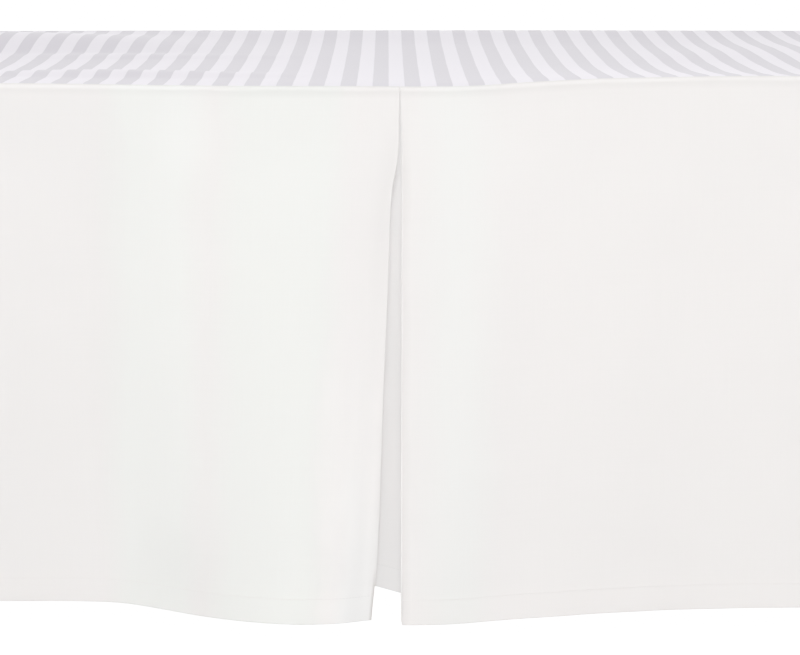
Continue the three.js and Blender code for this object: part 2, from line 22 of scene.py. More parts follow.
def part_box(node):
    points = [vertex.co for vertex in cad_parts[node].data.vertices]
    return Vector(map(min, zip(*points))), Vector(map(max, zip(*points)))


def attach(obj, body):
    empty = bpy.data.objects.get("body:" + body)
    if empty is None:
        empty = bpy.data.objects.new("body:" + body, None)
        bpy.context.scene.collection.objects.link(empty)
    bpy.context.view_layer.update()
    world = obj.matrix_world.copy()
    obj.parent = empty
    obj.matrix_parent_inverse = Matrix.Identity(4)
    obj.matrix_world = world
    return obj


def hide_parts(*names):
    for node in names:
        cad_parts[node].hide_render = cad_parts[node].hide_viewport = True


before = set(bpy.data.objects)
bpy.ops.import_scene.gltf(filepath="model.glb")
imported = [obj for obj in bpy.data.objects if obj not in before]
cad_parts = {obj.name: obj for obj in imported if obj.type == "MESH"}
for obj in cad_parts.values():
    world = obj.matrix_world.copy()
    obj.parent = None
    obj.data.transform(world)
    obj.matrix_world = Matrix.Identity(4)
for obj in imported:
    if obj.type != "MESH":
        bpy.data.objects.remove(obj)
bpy.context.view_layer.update()  # the solids, in metres, which every piece below is fitted to

# %% [markdown]
# ## The camera
#
# The camera comes first, because everything after it is judged through it. It stands a good two and a half metres in
# front of the skirt with a long lens, a little above the bed, and looks slightly down. So far away, the upright edges
# stay almost parallel, and the deck is seen at such a flat angle that its 0.7 m of depth becomes a narrow band. The
# heights and distances are given from the seam between the deck and the front drop, which is the line that the eye
# follows.

# %% Place the camera
MM = 0.001

deck_low, deck_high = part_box("deck")
_, board_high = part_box("base_board")
DECK_MIDDLE = Vector(((deck_low[0] + deck_high[0]) / 2, (deck_low[1] + deck_high[1]) / 2, 0))
CAD_CLOTH = 1.0  # mm, thickness of the cloth solids
SEAM_GAP = 0.3  # mm, between neighbouring solids
EDGE_ROLL = 6.0  # mm, radius in which a drop turns over the edge of the deck
DECK_LEVEL = board_high[2] / MM + SEAM_GAP + CAD_CLOTH / 2  # mm, middle of the deck's cloth where it lies on the board
HALF_LENGTH = (deck_high[0] - deck_low[0]) / MM / 2 + EDGE_ROLL + SEAM_GAP / 2
HALF_WIDTH = (deck_high[1] - deck_low[1]) / MM / 2 + EDGE_ROLL + SEAM_GAP / 2

CAMERA_DISTANCE = 2.5101  # m, from the front seam
CAMERA_ABOVE_DECK = 0.2037
CAMERA_LEFT_OF_PLEAT = 0.0094
LENS, SENSOR = 143.7, 36.0  # mm
LOOKS_DOWN = math.radians(8.856)
LOOKS_RIGHT = math.radians(0.2153)


def make_camera():
    data = bpy.data.cameras.new("camera")
    data.lens = LENS
    data.sensor_width = SENSOR
    data.clip_end = 100
    camera = bpy.data.objects.new("camera", data)
    seam_y = DECK_MIDDLE.y - (HALF_WIDTH + CAD_CLOTH / 2) * MM
    camera.location = (
        DECK_MIDDLE.x - CAMERA_LEFT_OF_PLEAT,
        seam_y - CAMERA_DISTANCE,
        DECK_LEVEL * MM + CAMERA_ABOVE_DECK,
    )
    camera.rotation_euler = (math.pi / 2 - LOOKS_DOWN, 0, -LOOKS_RIGHT)
    bpy.context.scene.collection.objects.link(camera)
    bpy.context.scene.camera = camera
    return camera


camera = make_camera()
print("camera at", [round(v, 3) for v in camera.location])

# %% [markdown]
# ## Short tables instead of many points
#
# What a hanging cloth does along its length is told by a few rows: how far its hem stands out from the seam's plane at
# a handful of places. A smooth curve through those rows gives every point between them. The same tool serves for the
# height of the seam, for the length of the drop and for the way the pleat gapes. Blender's own curves could do it too,
# but a table of real sizes can be read and changed without a viewport.

# %% A smooth curve through a table
def smooth_table(rows):
    """Rows are (where, value). Returns a function of a number or an array, flat beyond the ends."""
    at = np.array([row[0] for row in rows], dtype=float)
    value = np.array([row[1] for row in rows], dtype=float)
    before = np.maximum(np.arange(len(at)) - 1, 0)
    after = np.minimum(np.arange(len(at)) + 1, len(at) - 1)
    slope = (value[after] - value[before]) / (at[after] - at[before])

    def curve(where):
        x = np.clip(np.asarray(where, dtype=float), at[0], at[-1])
        i = np.clip(np.searchsorted(at, x, side="right") - 1, 0, len(at) - 2)
        width = at[i + 1] - at[i]
        t = (x - at[i]) / width
        return (
            value[i] * (1 + 2 * t) * (1 - t) ** 2
            + slope[i] * width * t * (1 - t) ** 2
            + value[i + 1] * t**2 * (3 - 2 * t)
            - slope[i + 1] * width * t**2 * (1 - t)
        )

    return curve


def mix(a, b, share):
    return a + (b - a) * share


def smooth_step(v):
    v = np.clip(v, 0, 1)
    return v * v * (3 - 2 * v)


def hump(distance):
    """1 in the middle, falling softly to 0 at a distance of 1."""
    return np.maximum(0, 1 - np.asarray(distance) ** 2) ** 2


print("a hump's height at 0, half way and 1:", hump([0, 0.5, 1]))

# %% [markdown]
# ## The sizes of the skirt
#
# All of these are millimetres, as on a cutting list. The drop is 418 mm, so the hem ends about 12 mm above the floor. A
# hem of 25 mm is turned up at the foot of each drop and a narrower one at its upright edges.

# %% Name the sizes
CLOTH = 0.5
DROP = 418.0
HEM_HEIGHT = 25.0
SIDE_HEM = 12.0
HEM_EXTRA = 0.9  # what the turned-up layers add behind the face
CORNER_GAP = 2.5
MITRE_LENGTH = 40.0
print("a drop with its hem let out is", DROP + HEM_HEIGHT, "mm long")

# %% [markdown]
# ## How each side hangs
#
# Every row is a place along a side, counted from its middle, and a height or a distance there. The hem tables say how
# far the hem stands out from the seam's plane: a lifeless straight hem would be a row of equal numbers. The lift tables
# say how far the slack deck holds the seam above the board. The extra tables say how much the cloth has stretched.
# `level` tells how far down a drop a point lies: 0 at the deck's edge and 1 at the hem.

# %% Hang the sides
FRONT_LEFT_HEM = smooth_table(
    [(-658, 4), (-560, 2), (-430, -6), (-314, -11), (-251, -11), (-220, -6), (-188, 12), (-157, 34)]
    + [(-125, 53), (-94, 65), (-63, 64), (-46, 56), (-30, 42.6), (-23, 38.2)]
)
FRONT_RIGHT_HEM = smooth_table(
    [(6.6, 62), (31, 56), (63, 48), (94, 42), (126, 37), (157, 32), (189, 26), (220, 22), (307, 21)]
    + [(430, 14), (560, 6), (658, 5)]
)
BACK_HEM = smooth_table([(-658, 5), (-520, 9), (-330, 2), (-120, 11), (110, 4), (300, 12), (500, 4), (658, 6)])
LEFT_END_HEM = smooth_table([(-353, 6), (-190, 11), (-10, 3), (170, 12), (353, 5)])
RIGHT_END_HEM = smooth_table([(-353, 5), (-200, 4), (-30, 12), (180, 5), (353, 7)])

FRONT_SEAM_LIFT = smooth_table(
    [(-658, 0), (-450, 5.4), (-314, 6.4), (-150, 4.4), (-40, 4), (50, 4), (110, 7.6), (170, 10.2)]
    + [(314, 11.8), (480, 6.5), (658, 0)]
)
BACK_SEAM_LIFT = smooth_table([(-658, 0), (-480, 4), (480, 4), (658, 0)])
FRONT_LEFT_EXTRA = smooth_table(
    [(-658, 0), (-480, 1), (-314, 1.7), (-250, 1.6), (-200, 1.8), (-150, 2.8), (-90, 4.4), (-60, 5), (0, 4.6)]
)
FRONT_RIGHT_EXTRA = smooth_table([(0, 5.7), (40, 5.9), (70, 5.6), (126, 6.6), (314, 5.8), (658, 0)])


def flare(level):
    """A cloth hangs almost straight from its edge, and a little steeper at first."""
    return level**1.1


def fall_for(hem_out, extra):
    """How far a slanting drop falls from its seam."""
    return np.sqrt(DROP**2 - hem_out**2) + extra


for hem_beside_pleat in (FRONT_LEFT_HEM, FRONT_RIGHT_HEM):
    print("beside the pleat the hem stands out", round(float(hem_beside_pleat(0)), 1), "mm")

# %% [markdown]
# ## From a grid of points to a piece of cloth
#
# `cloth_from_grid` takes the middle surface of a cloth as a grid and makes a closed, thin solid of it: a face, a back
# and a narrow rim. Where a hem is turned back the back is pushed further in, so the hem shows as a real band with a
# step at its edge when it is seen from behind. The edges themselves are pinched a little, because a folded edge is
# round and never a knife cut.
#
# The UV map is the flat pattern of the cloth, in metres, so that a weave or a stripe drawn on it later runs with the
# thread wherever the cloth turns.

# %% Find the normals and the flat pattern
def grid_normals(points):
    along = np.gradient(points, axis=1)
    down = np.gradient(points, axis=0)
    normals = np.cross(down, along)
    return normals / np.maximum(np.linalg.norm(normals, axis=2, keepdims=True), 1e-12)


def flat_pattern(points):
    """Distances along the cloth: across it in its middle row, and down it in each column, in metres."""
    middle = points[points.shape[0] // 2]
    across = np.concatenate([[0], np.cumsum(np.linalg.norm(np.diff(middle, axis=0), axis=1))])
    steps = np.linalg.norm(np.diff(points, axis=0), axis=2)
    down = np.vstack([np.zeros(points.shape[1]), np.cumsum(steps, axis=0)])
    return np.broadcast_to(across, down.shape) * MM, down * MM


upright_square = np.array([[(x, 0.0, -z) for x in (0.0, 10.0, 20.0)] for z in (0.0, 10.0, 20.0)])
print("a test square, drawn from left to right and down, faces", grid_normals(upright_square)[1, 1])

# %% Build a thin closed sheet
def cloth_from_grid(name, points, thickness, extra, pinch, flip=False):
    """points is a grid in mm. extra, in mm, and pinch, a share of the thickness, may be grids or numbers."""
    rows, columns = points.shape[:2]
    normals = grid_normals(points) * (-1 if flip else 1)
    half = (thickness / 2) * np.ones((rows, columns)) * (1 - pinch)
    behind = (thickness / 2 + extra) * np.ones((rows, columns)) * (1 - pinch)
    face = points + normals * half[..., None]
    back = points - normals * behind[..., None]
    vertices = np.concatenate([face.reshape(-1, 3), back.reshape(-1, 3)]) * MM

    index = np.arange(rows * columns).reshape(rows, columns)
    a, b, c, d = index[:-1, :-1], index[1:, :-1], index[1:, 1:], index[:-1, 1:]
    front_quads = np.stack([a, b, c, d], axis=-1).reshape(-1, 4)
    back_quads = front_quads[:, ::-1] + rows * columns

    rim = []
    other = rows * columns

    def band(first, second):
        rim.append(np.stack([first[:-1], first[1:], second[1:], second[:-1]], axis=-1))

    band(index[:, 0] + other, index[:, 0])
    band(index[:, -1], index[:, -1] + other)
    band(index[0, :], index[0, :] + other)
    band(index[-1, :] + other, index[-1, :])
    faces = np.concatenate([front_quads, back_quads] + rim)
    if flip:
        faces = faces[:, ::-1]

    mesh = bpy.data.meshes.new(name)
    mesh.from_pydata(vertices.tolist(), [], faces.tolist())
    across, down = flat_pattern(points)
    flat = np.stack([across, down], axis=-1).reshape(-1, 2)
    flat = np.concatenate([flat, flat])
    layer = mesh.uv_layers.new(name="flat_pattern")
    corners = np.empty(len(mesh.loops), dtype=np.int32)
    mesh.loops.foreach_get("vertex_index", corners)
    layer.data.foreach_set("uv", flat[corners].ravel())
    mesh.shade_smooth()
    piece = bpy.data.objects.new(name, mesh)
    bpy.context.scene.collection.objects.link(piece)
    return piece


# %% [markdown]
# ## Rows and columns of a drop
#
# The top rows turn over the edge of the deck in a quarter circle, and the rest fall to the hem. Rows lie closer
# together where something happens: next to the seam and on both sides of the hem's edge.

# %% Set out the rows
ROLL_ROWS = 13
FALL_ROWS, FALL_CROWDING = 78, 1.08
BAND_ROWS = 8
HEM_TOP = 1 - HEM_HEIGHT / DROP
STEP = 0.7 / DROP  # height over which the cloth steps out to the hem's thickness


def drop_rows():
    """Pairs of turning angle and level, from the seam to the hem."""
    roll = [(angle, 0.0) for angle in np.linspace(0, math.pi / 2, ROLL_ROWS)]
    fall = np.linspace(0, 1, FALL_ROWS) ** FALL_CROWDING * (HEM_TOP - 3 * STEP)
    hem_edge = [HEM_TOP - 2 * STEP, HEM_TOP - STEP, HEM_TOP, HEM_TOP + STEP]
    band = np.linspace(HEM_TOP + 3 * STEP, 1 - 2 * STEP, BAND_ROWS)
    foot = [1 - STEP, 1 - 0.4 * STEP, 1.0]
    levels = np.concatenate([fall[1:], hem_edge, band, foot])
    return roll + [(math.pi / 2, float(level)) for level in levels]


ROWS = drop_rows()
ANGLES = np.array([angle for angle, _ in ROWS])
LEVELS = np.array([level for _, level in ROWS])
print("rows from seam to hem:", len(ROWS))

# %% Set out the columns
SIDE_HEM_STEP = 0.8  # over which the cloth steps in from the side hem's thickness
SIDE_HEM_STOPS = [0, 0.4, 0.9, 2.5, 5, 8, SIDE_HEM - SIDE_HEM_STEP, SIDE_HEM, SIDE_HEM + SIDE_HEM_STEP]


def face_columns(corner, other, count, crowding=1.0):
    """Places along a plain stretch, with close ones at the side hem and, if asked, towards the other end."""
    inward = math.copysign(1, other - corner)
    stops = [corner + inward * d for d in SIDE_HEM_STOPS]
    rest = other + (stops[-1] - other) * (1 - np.linspace(0, 1, count + 1)[1:]) ** crowding
    return np.concatenate([stops, rest])


print("columns in the first 100 mm of a drop:", int(np.sum(face_columns(0, 650, 135) < 100)))

# %% [markdown]
# ## A plain stretch of a drop
#
# `stretch` places one row of a plain stretch. The cloth stands out as its hem's table says, in proportion to the level,
# and may be drawn sideways, as it is beside the pleat. Each column keeps to itself all the way down, like a thread.

# %% Lay out a plain stretch
def stretch(columns, level, hem, shift, lift, extra):
    at_hem = hem(columns + shift(columns, 1.0))
    return {
        "along": columns + shift(columns, level),
        "out": at_hem * flare(level),
        "lift": lift(columns),
        "fall": fall_for(at_hem, extra(columns)),
    }


def no_shift(columns, _level):
    return np.zeros_like(columns)


def nothing(columns):
    return np.zeros_like(np.asarray(columns, dtype=float))


middle_of_back = stretch(np.array([0.0]), 1.0, BACK_HEM, no_shift, nothing, nothing)
print("the middle of the back's hem falls", round(float(middle_of_back["fall"][0]), 2), "mm")

# %% [markdown]
# ## The inverted pleat
#
# Seen from above, an inverted box pleat is a belt laid round four rods: the left fold, the two inner folds behind it
# and the right fold. At the seam the rods are thin and the belt lies flat in three layers, each 1.4 mm behind the last.
# Towards the hem the outer rods swing forward and apart, so the pleat opens into a narrow wedge that shows the
# underlay. Pressed folds stay sharp all the way down, so the rods grow hardly thicker.
#
# The table says how the pleat opens. It stays shut for the first few centimetres, opens with a small jerk where the
# pressing lets go, and then evenly. Only the left fold moves far.

# %% Open the pleat
PLEAT_DEPTH = 98.0
CREASE_RADIUS = 0.7
FOLD_START = CREASE_RADIUS + CLOTH / 2 + 0.05  # the two front folds all but touch at the seam
PLEAT_FOLDS = [  # level, gape to the left and to the right, radius of the two front folds
    (0, 0, 0, 0.7),
    (0.05, 0.7, 0.8, 0.72),
    (0.12, 1.2, 1.2, 0.76),
    (0.17, 5.3, 1.2, 0.78),
    (0.21, 6.8, 1.2, 0.8),
    (0.31, 8.5, 1.2, 0.85),
    (0.43, 10.1, 1.2, 0.91),
    (0.54, 12.1, 1.1, 0.97),
    (0.69, 14.4, 1.1, 1.04),
    (0.88, 17.6, 0.9, 1.14),
    (1, 22, 0.9, 1.2),
]
LEFT_GAPE, RIGHT_GAPE, FRONT_FOLD_RADIUS = (
    smooth_table([(row[0], row[column]) for row in PLEAT_FOLDS]) for column in range(1, 4)
)
DRAWN_LENGTH = 260.0  # of each face, which is drawn aside with its fold


def left_shift(along, level):
    return -LEFT_GAPE(level) * smooth_step(1 + np.asarray(along) / DRAWN_LENGTH)


def right_shift(along, level):
    return RIGHT_GAPE(level) * smooth_step(1 - np.asarray(along) / DRAWN_LENGTH)


print("the pleat gapes", round(float(LEFT_GAPE(1) + RIGHT_GAPE(1)), 1), "mm at the hem")

# %% [markdown]
# ## Four rods and a belt
#
# The belt runs clockwise round the outer rods and the other way round the inner ones. `pleat_rods` places them at a
# level. The outer ones are set so that the belt goes on in the direction in which each face arrives. `tangent` finds
# the heading of the straight stretch between two rods, which is where most of the pleat's shape comes from, and
# `around` gives the points of an arc.

# %% Place the rods
LEFT_FOLD_TURN, RIGHT_FOLD_TURN = math.radians(32), math.radians(13)
INNER_FOLD_RADIUS, INNER_FOLD_OUT, LEFT_DRIFT, RIGHT_DRIFT = 2.5, 3.0, -12.0, -16.0  # all at the hem
INNER_FOLD_SETBACK = 2.1  # behind the seam's plane, at the seam


def outer_rod(face_end, turn, radius):
    """The rod of a front fold, which the belt meets where the face ends, at the angle `turn`."""
    return (face_end[0] + radius * math.sin(turn), face_end[1] - radius * math.cos(turn), radius, -1)


def pleat_rods(level):
    """Each rod: along, out, radius and the way the belt turns round it, 1 for anticlockwise."""
    opened = flare(level)
    left_turn, right_turn = -LEFT_FOLD_TURN * opened, -RIGHT_FOLD_TURN * opened
    outer_radius = float(FRONT_FOLD_RADIUS(level))
    inner_radius = mix(CREASE_RADIUS, INNER_FOLD_RADIUS, opened)
    inner_out = mix(-INNER_FOLD_SETBACK, INNER_FOLD_OUT, opened)
    left_end = (-FOLD_START + float(left_shift(0, level)), float(FRONT_LEFT_HEM(0)) * opened)
    right_end = (FOLD_START + float(right_shift(0, level)), float(FRONT_RIGHT_HEM(0)) * opened)
    rods = [
        outer_rod(left_end, left_turn, outer_radius),
        (-PLEAT_DEPTH + LEFT_DRIFT * opened, inner_out, inner_radius, 1),
        (PLEAT_DEPTH + RIGHT_DRIFT * opened, inner_out, inner_radius, 1),
        outer_rod(right_end, right_turn, outer_radius),
    ]
    return rods, left_turn, right_turn


print("rods at the hem:", [tuple(round(v, 1) for v in rod) for rod in pleat_rods(1.0)[0]])


# %% Lay the belt round them
def tangent(start, end):
    offset = start[2] * start[3] - end[2] * end[3]
    between = math.atan2(end[1] - start[1], end[0] - start[0])
    return between + math.asin(offset / math.hypot(end[0] - start[0], end[1] - start[1]))


def around(rod, heading_in, heading_out, steps):
    swept = ((heading_out - heading_in) * rod[3]) % (2 * math.pi)
    headings = heading_in + rod[3] * swept * np.linspace(0, 1, steps + 1)
    side = rod[2] * rod[3]
    return np.stack([rod[0] + side * np.sin(headings), rod[1] - side * np.cos(headings)], axis=-1)


left_rod, inner_left_rod = pleat_rods(1.0)[0][:2]
print("the left return heads", round(math.degrees(tangent(left_rod, inner_left_rod))), "degrees from the seam's line")

# %% [markdown]
# ## The pleat's path
#
# Seven stretches make the path: fold, return, inner fold, underlay, inner fold, return, fold. The underlay sags back in
# a shallow bow. Behind the front folds the cloth hangs a little shorter, because it is hitched up by its own stiffness,
# so the underlay's hem ends above the hems of the faces and waves gently.

# %% Walk through the pleat
FOLD_CURL = 8.0  # how much shorter the cloth hangs behind a front fold than before it
UNDERLAY_HIKE = 10.0
UNDERLAY_HEM_WAVE = 8.0
UNDERLAY_BOW = 17.0
OUTER_FOLD_STEPS, INNER_FOLD_STEPS, RETURN_STEPS, UNDERLAY_STEPS = 9, 6, 14, 36


def between(start, end, steps, bow=0.0):
    share = np.linspace(0, 1, steps + 1)[1:-1]
    along = mix(start[0], end[0], share)
    out = mix(start[1], end[1], share) - bow * np.sin(math.pi * share) ** 2
    return np.stack([along, out], axis=-1)


def pleat_path(level):
    """The pleat's points at a level, and how much longer or shorter the cloth hangs at each of them."""
    rods, left_turn, right_turn = pleat_rods(level)
    left, inner_left, inner_right, right = rods
    inward, across, outward = tangent(left, inner_left), tangent(inner_left, inner_right), tangent(inner_right, right)
    left_fold = around(left, left_turn, inward, OUTER_FOLD_STEPS)[1:]
    left_inner = around(inner_left, inward, across, INNER_FOLD_STEPS)
    right_inner = around(inner_right, across, outward, INNER_FOLD_STEPS)
    right_fold = around(right, outward, right_turn, OUTER_FOLD_STEPS)[:-1]
    left_return = between(left_fold[-1], left_inner[0], RETURN_STEPS)
    underlay = between(left_inner[-1], right_inner[0], UNDERLAY_STEPS, UNDERLAY_BOW * flare(level))
    right_return = between(right_inner[-1], right_fold[0], RETURN_STEPS)

    left_extra, right_extra = float(FRONT_LEFT_EXTRA(0)), float(FRONT_RIGHT_EXTRA(0))
    hiked = -UNDERLAY_HIKE
    wave = UNDERLAY_HEM_WAVE * np.sin(2 * math.pi * np.linspace(0, 1, len(underlay)))
    extras = [
        np.linspace(left_extra, left_extra - FOLD_CURL, len(left_fold)),
        np.linspace(left_extra - FOLD_CURL, hiked, len(left_return)),
        np.full(len(left_inner), hiked),
        hiked - wave,
        np.full(len(right_inner), hiked),
        np.linspace(hiked, right_extra - FOLD_CURL, len(right_return)),
        np.linspace(right_extra - FOLD_CURL, right_extra, len(right_fold)),
    ]
    pieces = [left_fold, left_return, left_inner, underlay, right_inner, right_return, right_fold]
    return np.concatenate(pieces), np.concatenate(extras)


HEM_PATH, PLEAT_EXTRA = pleat_path(1.0)
PLEAT_FALL = fall_for(HEM_PATH[:, 1], PLEAT_EXTRA)
print("points across the pleat:", len(HEM_PATH))

# %% [markdown]
# ## Creases and slackness
#
# A pressed cotton panel is smooth but never perfect. Three small things are added along the cloth's normal: broad soft
# ridges, placed one by one; the tiny puckers that a seam's thread draws into the cloth beside it; and a slow unevenness
# of under a millimetre. Each fades out at the seam, where the cloth is held.

# %% Add small unevenness to a drop
PUCKER_PITCH, PUCKER_HEIGHT, PUCKER_REACH = 11.0, 0.16, 16.0
PUCKER_START = 1.5  # from the seam, where the turned cloth is still too stiff to pucker
RIDGE_FADE = 0.15  # of the drop, at a ridge's ends


def slow_noise(points, scale, seed):
    """Smooth noise between about -1 and 1, one value for each point; scale is the size of its swells in mm."""
    flat = points.reshape(-1, 3) / scale
    values = [noise.noise(Vector((p[0] + seed, p[1] - seed, p[2] + 2 * seed))) for p in flat]
    return np.array(values).reshape(points.shape[:2])


def soft_ridges(columns, levels, ridges):
    """Ridges are (place at mid height, slant, half width, height, from level, to level)."""
    total = np.zeros((len(levels), len(columns)))
    for place, slant, half_width, height, first, last in ridges:
        middle = place + slant * (0.5 - levels[:, None])
        down = smooth_step((levels - first) / RIDGE_FADE) * smooth_step((last - levels) / RIDGE_FADE)
        total += height * hump((columns[None, :] - middle) / half_width) * down[:, None]
    return total


def seam_puckers(along, seed):
    drop_from_seam = (ANGLES * EDGE_ROLL + LEVELS * DROP)[:, None]
    fade = np.exp(-drop_from_seam / PUCKER_REACH) * (1 - np.exp(-drop_from_seam / PUCKER_START))
    # no two puckers are alike: their spacing wanders over some 60 mm and their height over some 35 mm
    wander = np.array([noise.noise(Vector((x / 60, seed, 0))) for x in along[0]])
    strength = np.array([0.6 + 0.6 * noise.noise(Vector((x / 35, seed + 5, 0))) for x in along[0]])
    waves = np.sin(2 * math.pi * (along[0] / PUCKER_PITCH + 1.2 * wander)) * strength
    return PUCKER_HEIGHT * fade * waves[None, :]


print("puckers along the front seam: about", round(2 * HALF_LENGTH / PUCKER_PITCH))

# %% [markdown]
# ## Stitches
#
# A hem is held by a line of straight stitches, each about two and a half millimetres long, with a small gap where the
# thread dives through the cloth. They lie 22 mm above the foot of the drop and 9 mm in from its upright edges. Each
# one is a tiny capsule, half sunk into the cloth, on the face and again on the back.
#
# The line is first laid on the cloth as a path of points with their normals, and then cut into even lengths. All the
# stitches of a drop are one mesh, which is much lighter to work with than two thousand objects. An array along a curve
# would do it too, but it couldn't skip the hem's corner or lie on both sides of a bent cloth.

# %% Cut a path into stitches
STITCH_LENGTH, STITCH_GAP, THREAD = 2.6, 0.55, 0.34
HEM_STITCH_HEIGHT, SIDE_STITCH_INSET = 22.0, 9.0


def resample(path, normals, pitch):
    """Even steps along a path: places, directions and normals."""
    lengths = np.concatenate([[0], np.cumsum(np.linalg.norm(np.diff(path, axis=0), axis=1))])
    count = max(1, int((lengths[-1] - pitch) // pitch))
    at = (lengths[-1] - count * pitch) / 2 + pitch * (np.arange(count) + 0.5)

    def read(values, where):
        return np.stack([np.interp(where, lengths, values[:, i]) for i in range(3)], axis=-1)

    place = read(path, at)
    heading = read(path, at + pitch / 3) - read(path, at - pitch / 3)
    normal = read(normals, at)
    heading /= np.linalg.norm(heading, axis=1, keepdims=True)
    normal -= heading * np.sum(normal * heading, axis=1, keepdims=True)
    normal /= np.linalg.norm(normal, axis=1, keepdims=True)
    return place, heading, normal


print("stitches to the metre:", round(1000 / (STITCH_LENGTH + STITCH_GAP)))

# %% Shape each stitch
CAPSULE = [(-0.5, 0.0), (-0.44, 0.75), (-0.2, 1.0), (0.2, 1.0), (0.44, 0.75), (0.5, 0.0)]  # share of length, of radius
CAPSULE_SIDES = 6


def capsules(place, heading, normal):
    """Vertices and faces of one capsule at each place."""
    side = np.cross(heading, normal)
    rings = []
    for share, swell in CAPSULE[1:-1]:
        for k in range(CAPSULE_SIDES):
            turn = 2 * math.pi * k / CAPSULE_SIDES
            spoke = normal * math.sin(turn) + side * math.cos(turn)
            rings.append(place + heading * share * STITCH_LENGTH + spoke * swell * THREAD / 2)
    tips = [place + heading * share * STITCH_LENGTH for share in (-0.5, 0.5)]
    vertices = np.stack(rings + tips, axis=1)
    ring_count = len(CAPSULE) - 2
    start, end = ring_count * CAPSULE_SIDES, ring_count * CAPSULE_SIDES + 1
    faces = []
    for k in range(CAPSULE_SIDES):
        n = (k + 1) % CAPSULE_SIDES
        faces.append((start, n, k))
        last = (ring_count - 1) * CAPSULE_SIDES
        faces.append((end, last + k, last + n))
        for ring in range(ring_count - 1):
            a, b = ring * CAPSULE_SIDES, (ring + 1) * CAPSULE_SIDES
            faces.append((a + k, a + n, b + n, b + k))
    return vertices, faces


one_stitch = capsules(np.zeros((1, 3)), np.array([[1.0, 0.0, 0.0]]), np.array([[0.0, 0.0, 1.0]]))
print("faces of a stitch:", len(one_stitch[1]))

# %% Sew along the hems
SEAM_CLEARANCE = 0.012  # level at which the side hems' stitches begin, below the turned edge


def stitch_paths(points, columns, half):
    """The hem's line and the two side hems' lines on a drop, in mm, with normals towards the face."""
    normals = grid_normals(points)
    row = int(np.searchsorted(LEVELS, 1 - HEM_STITCH_HEIGHT / DROP))
    inset = half - CORNER_GAP - SIDE_STITCH_INSET
    inner = np.abs(columns) < inset
    paths = [(points[row, inner], normals[row, inner])]
    hanging = (LEVELS > SEAM_CLEARANCE) & (LEVELS < 1 - (HEM_STITCH_HEIGHT + 1) / DROP)
    for edge in (-inset, inset):
        column = int(np.argmin(np.abs(columns - edge)))
        paths.append((points[hanging, column], normals[hanging, column]))
    return paths


def make_stitches(name, points, columns, half):
    vertices, faces = [], []
    for path, normals in stitch_paths(points, columns, half):
        place, heading, normal = resample(path, normals, STITCH_LENGTH + STITCH_GAP)
        for depth in (CLOTH / 2, -(CLOTH / 2 + HEM_EXTRA)):
            made, pattern = capsules(place + normal * depth, heading, normal)
            for one in made:
                first = len(vertices)
                vertices.extend(one * MM)
                faces.extend([tuple(first + i for i in face) for face in pattern])
    mesh = bpy.data.meshes.new(name)
    mesh.from_pydata(vertices, [], faces)
    mesh.shade_smooth()
    piece = bpy.data.objects.new(name, mesh)
    bpy.context.scene.collection.objects.link(piece)
    return piece


# %% [markdown]
# ## Sewing up a drop
#
# `drop_points` turns the rows into points. A drop is drawn in its own frame, with its seam along x and the bed behind
# it, and is then turned to its side of the bed. At the corners the top of the drop is drawn in along the mitre, so two
# neighbours meet over the deck's corner without crossing.

# %% Place a drop's points
ROLL_SQUARENESS = 0.6  # 1 would be a quarter circle, and less brings it closer to a square edge


def mitred(along, half, angle):
    """A drop's top corners are drawn in along the corner's mitre while it turns over the deck's edge."""
    inset = EDGE_ROLL * (1 - math.sin(angle))
    pull = smooth_step((np.abs(along) - (half - CORNER_GAP - MITRE_LENGTH)) / MITRE_LENGTH)
    return along - np.sign(along) * inset * pull


def drop_points(plan, half):
    """plan(level) gives a row's along, out, lift and fall."""
    grid = []
    for angle, level in ROWS:
        row = plan(level)
        outward = EDGE_ROLL + row["out"]
        over, down = math.sin(angle) ** ROLL_SQUARENESS, max(0.0, math.cos(angle)) ** ROLL_SQUARENESS
        x = mitred(row["along"], half, angle)
        y = EDGE_ROLL - outward * over - SEAM_GAP / 2 * down
        z = row["lift"] - EDGE_ROLL + outward * down - level * (row["fall"] - EDGE_ROLL)
        grid.append(np.stack([x, y, z], axis=-1))
    return np.array(grid)


DECK_ORIGIN = np.array([*(DECK_MIDDLE / MM)]) + np.array([0, 0, DECK_LEVEL])


def turned(points, out, quarter_turns):
    """From a drop's own frame to its side of the bed."""
    moved = points + np.array([0, -out, 0])
    c, s = [(1, 0), (0, 1), (-1, 0), (0, -1)][quarter_turns % 4]
    x = c * moved[..., 0] - s * moved[..., 1]
    y = s * moved[..., 0] + c * moved[..., 1]
    return np.stack([x, y, moved[..., 2]], axis=-1) + DECK_ORIGIN


print("the deck's middle lies at", [round(float(v), 1) for v in DECK_ORIGIN], "mm")

# %% Thicken the hems and finish a drop
PINCH, PINCH_REACH = 0.65, 0.8  # how much thinner a folded edge ends, and over what distance
HELD_SHARE = 0.12  # of the drop, over which the seam keeps the cloth even
SWELL, SWELL_SIZE = 0.7, 140  # height and spacing of the slow unevenness
RIPPLE, RIPPLE_SIZE = 0.2, 45


def hem_depth(columns, half):
    """How much the turned hems add behind the face, as a grid."""
    foot = smooth_step((LEVELS - (HEM_TOP - STEP)) / STEP)[:, None]
    inner_edge = half - CORNER_GAP - SIDE_HEM - SIDE_HEM_STEP
    side = smooth_step((np.abs(columns) - inner_edge) / SIDE_HEM_STEP)[None, :]
    return HEM_EXTRA * np.maximum(foot, side)


def edge_pinch(columns, half):
    from_foot = (1 - LEVELS)[:, None] * DROP
    from_side = (half - CORNER_GAP - np.abs(columns))[None, :]
    rounded = [PINCH * np.maximum(0, 1 - distance / PINCH_REACH) ** 2 for distance in (from_foot, from_side)]
    return np.maximum(*np.broadcast_arrays(*rounded))


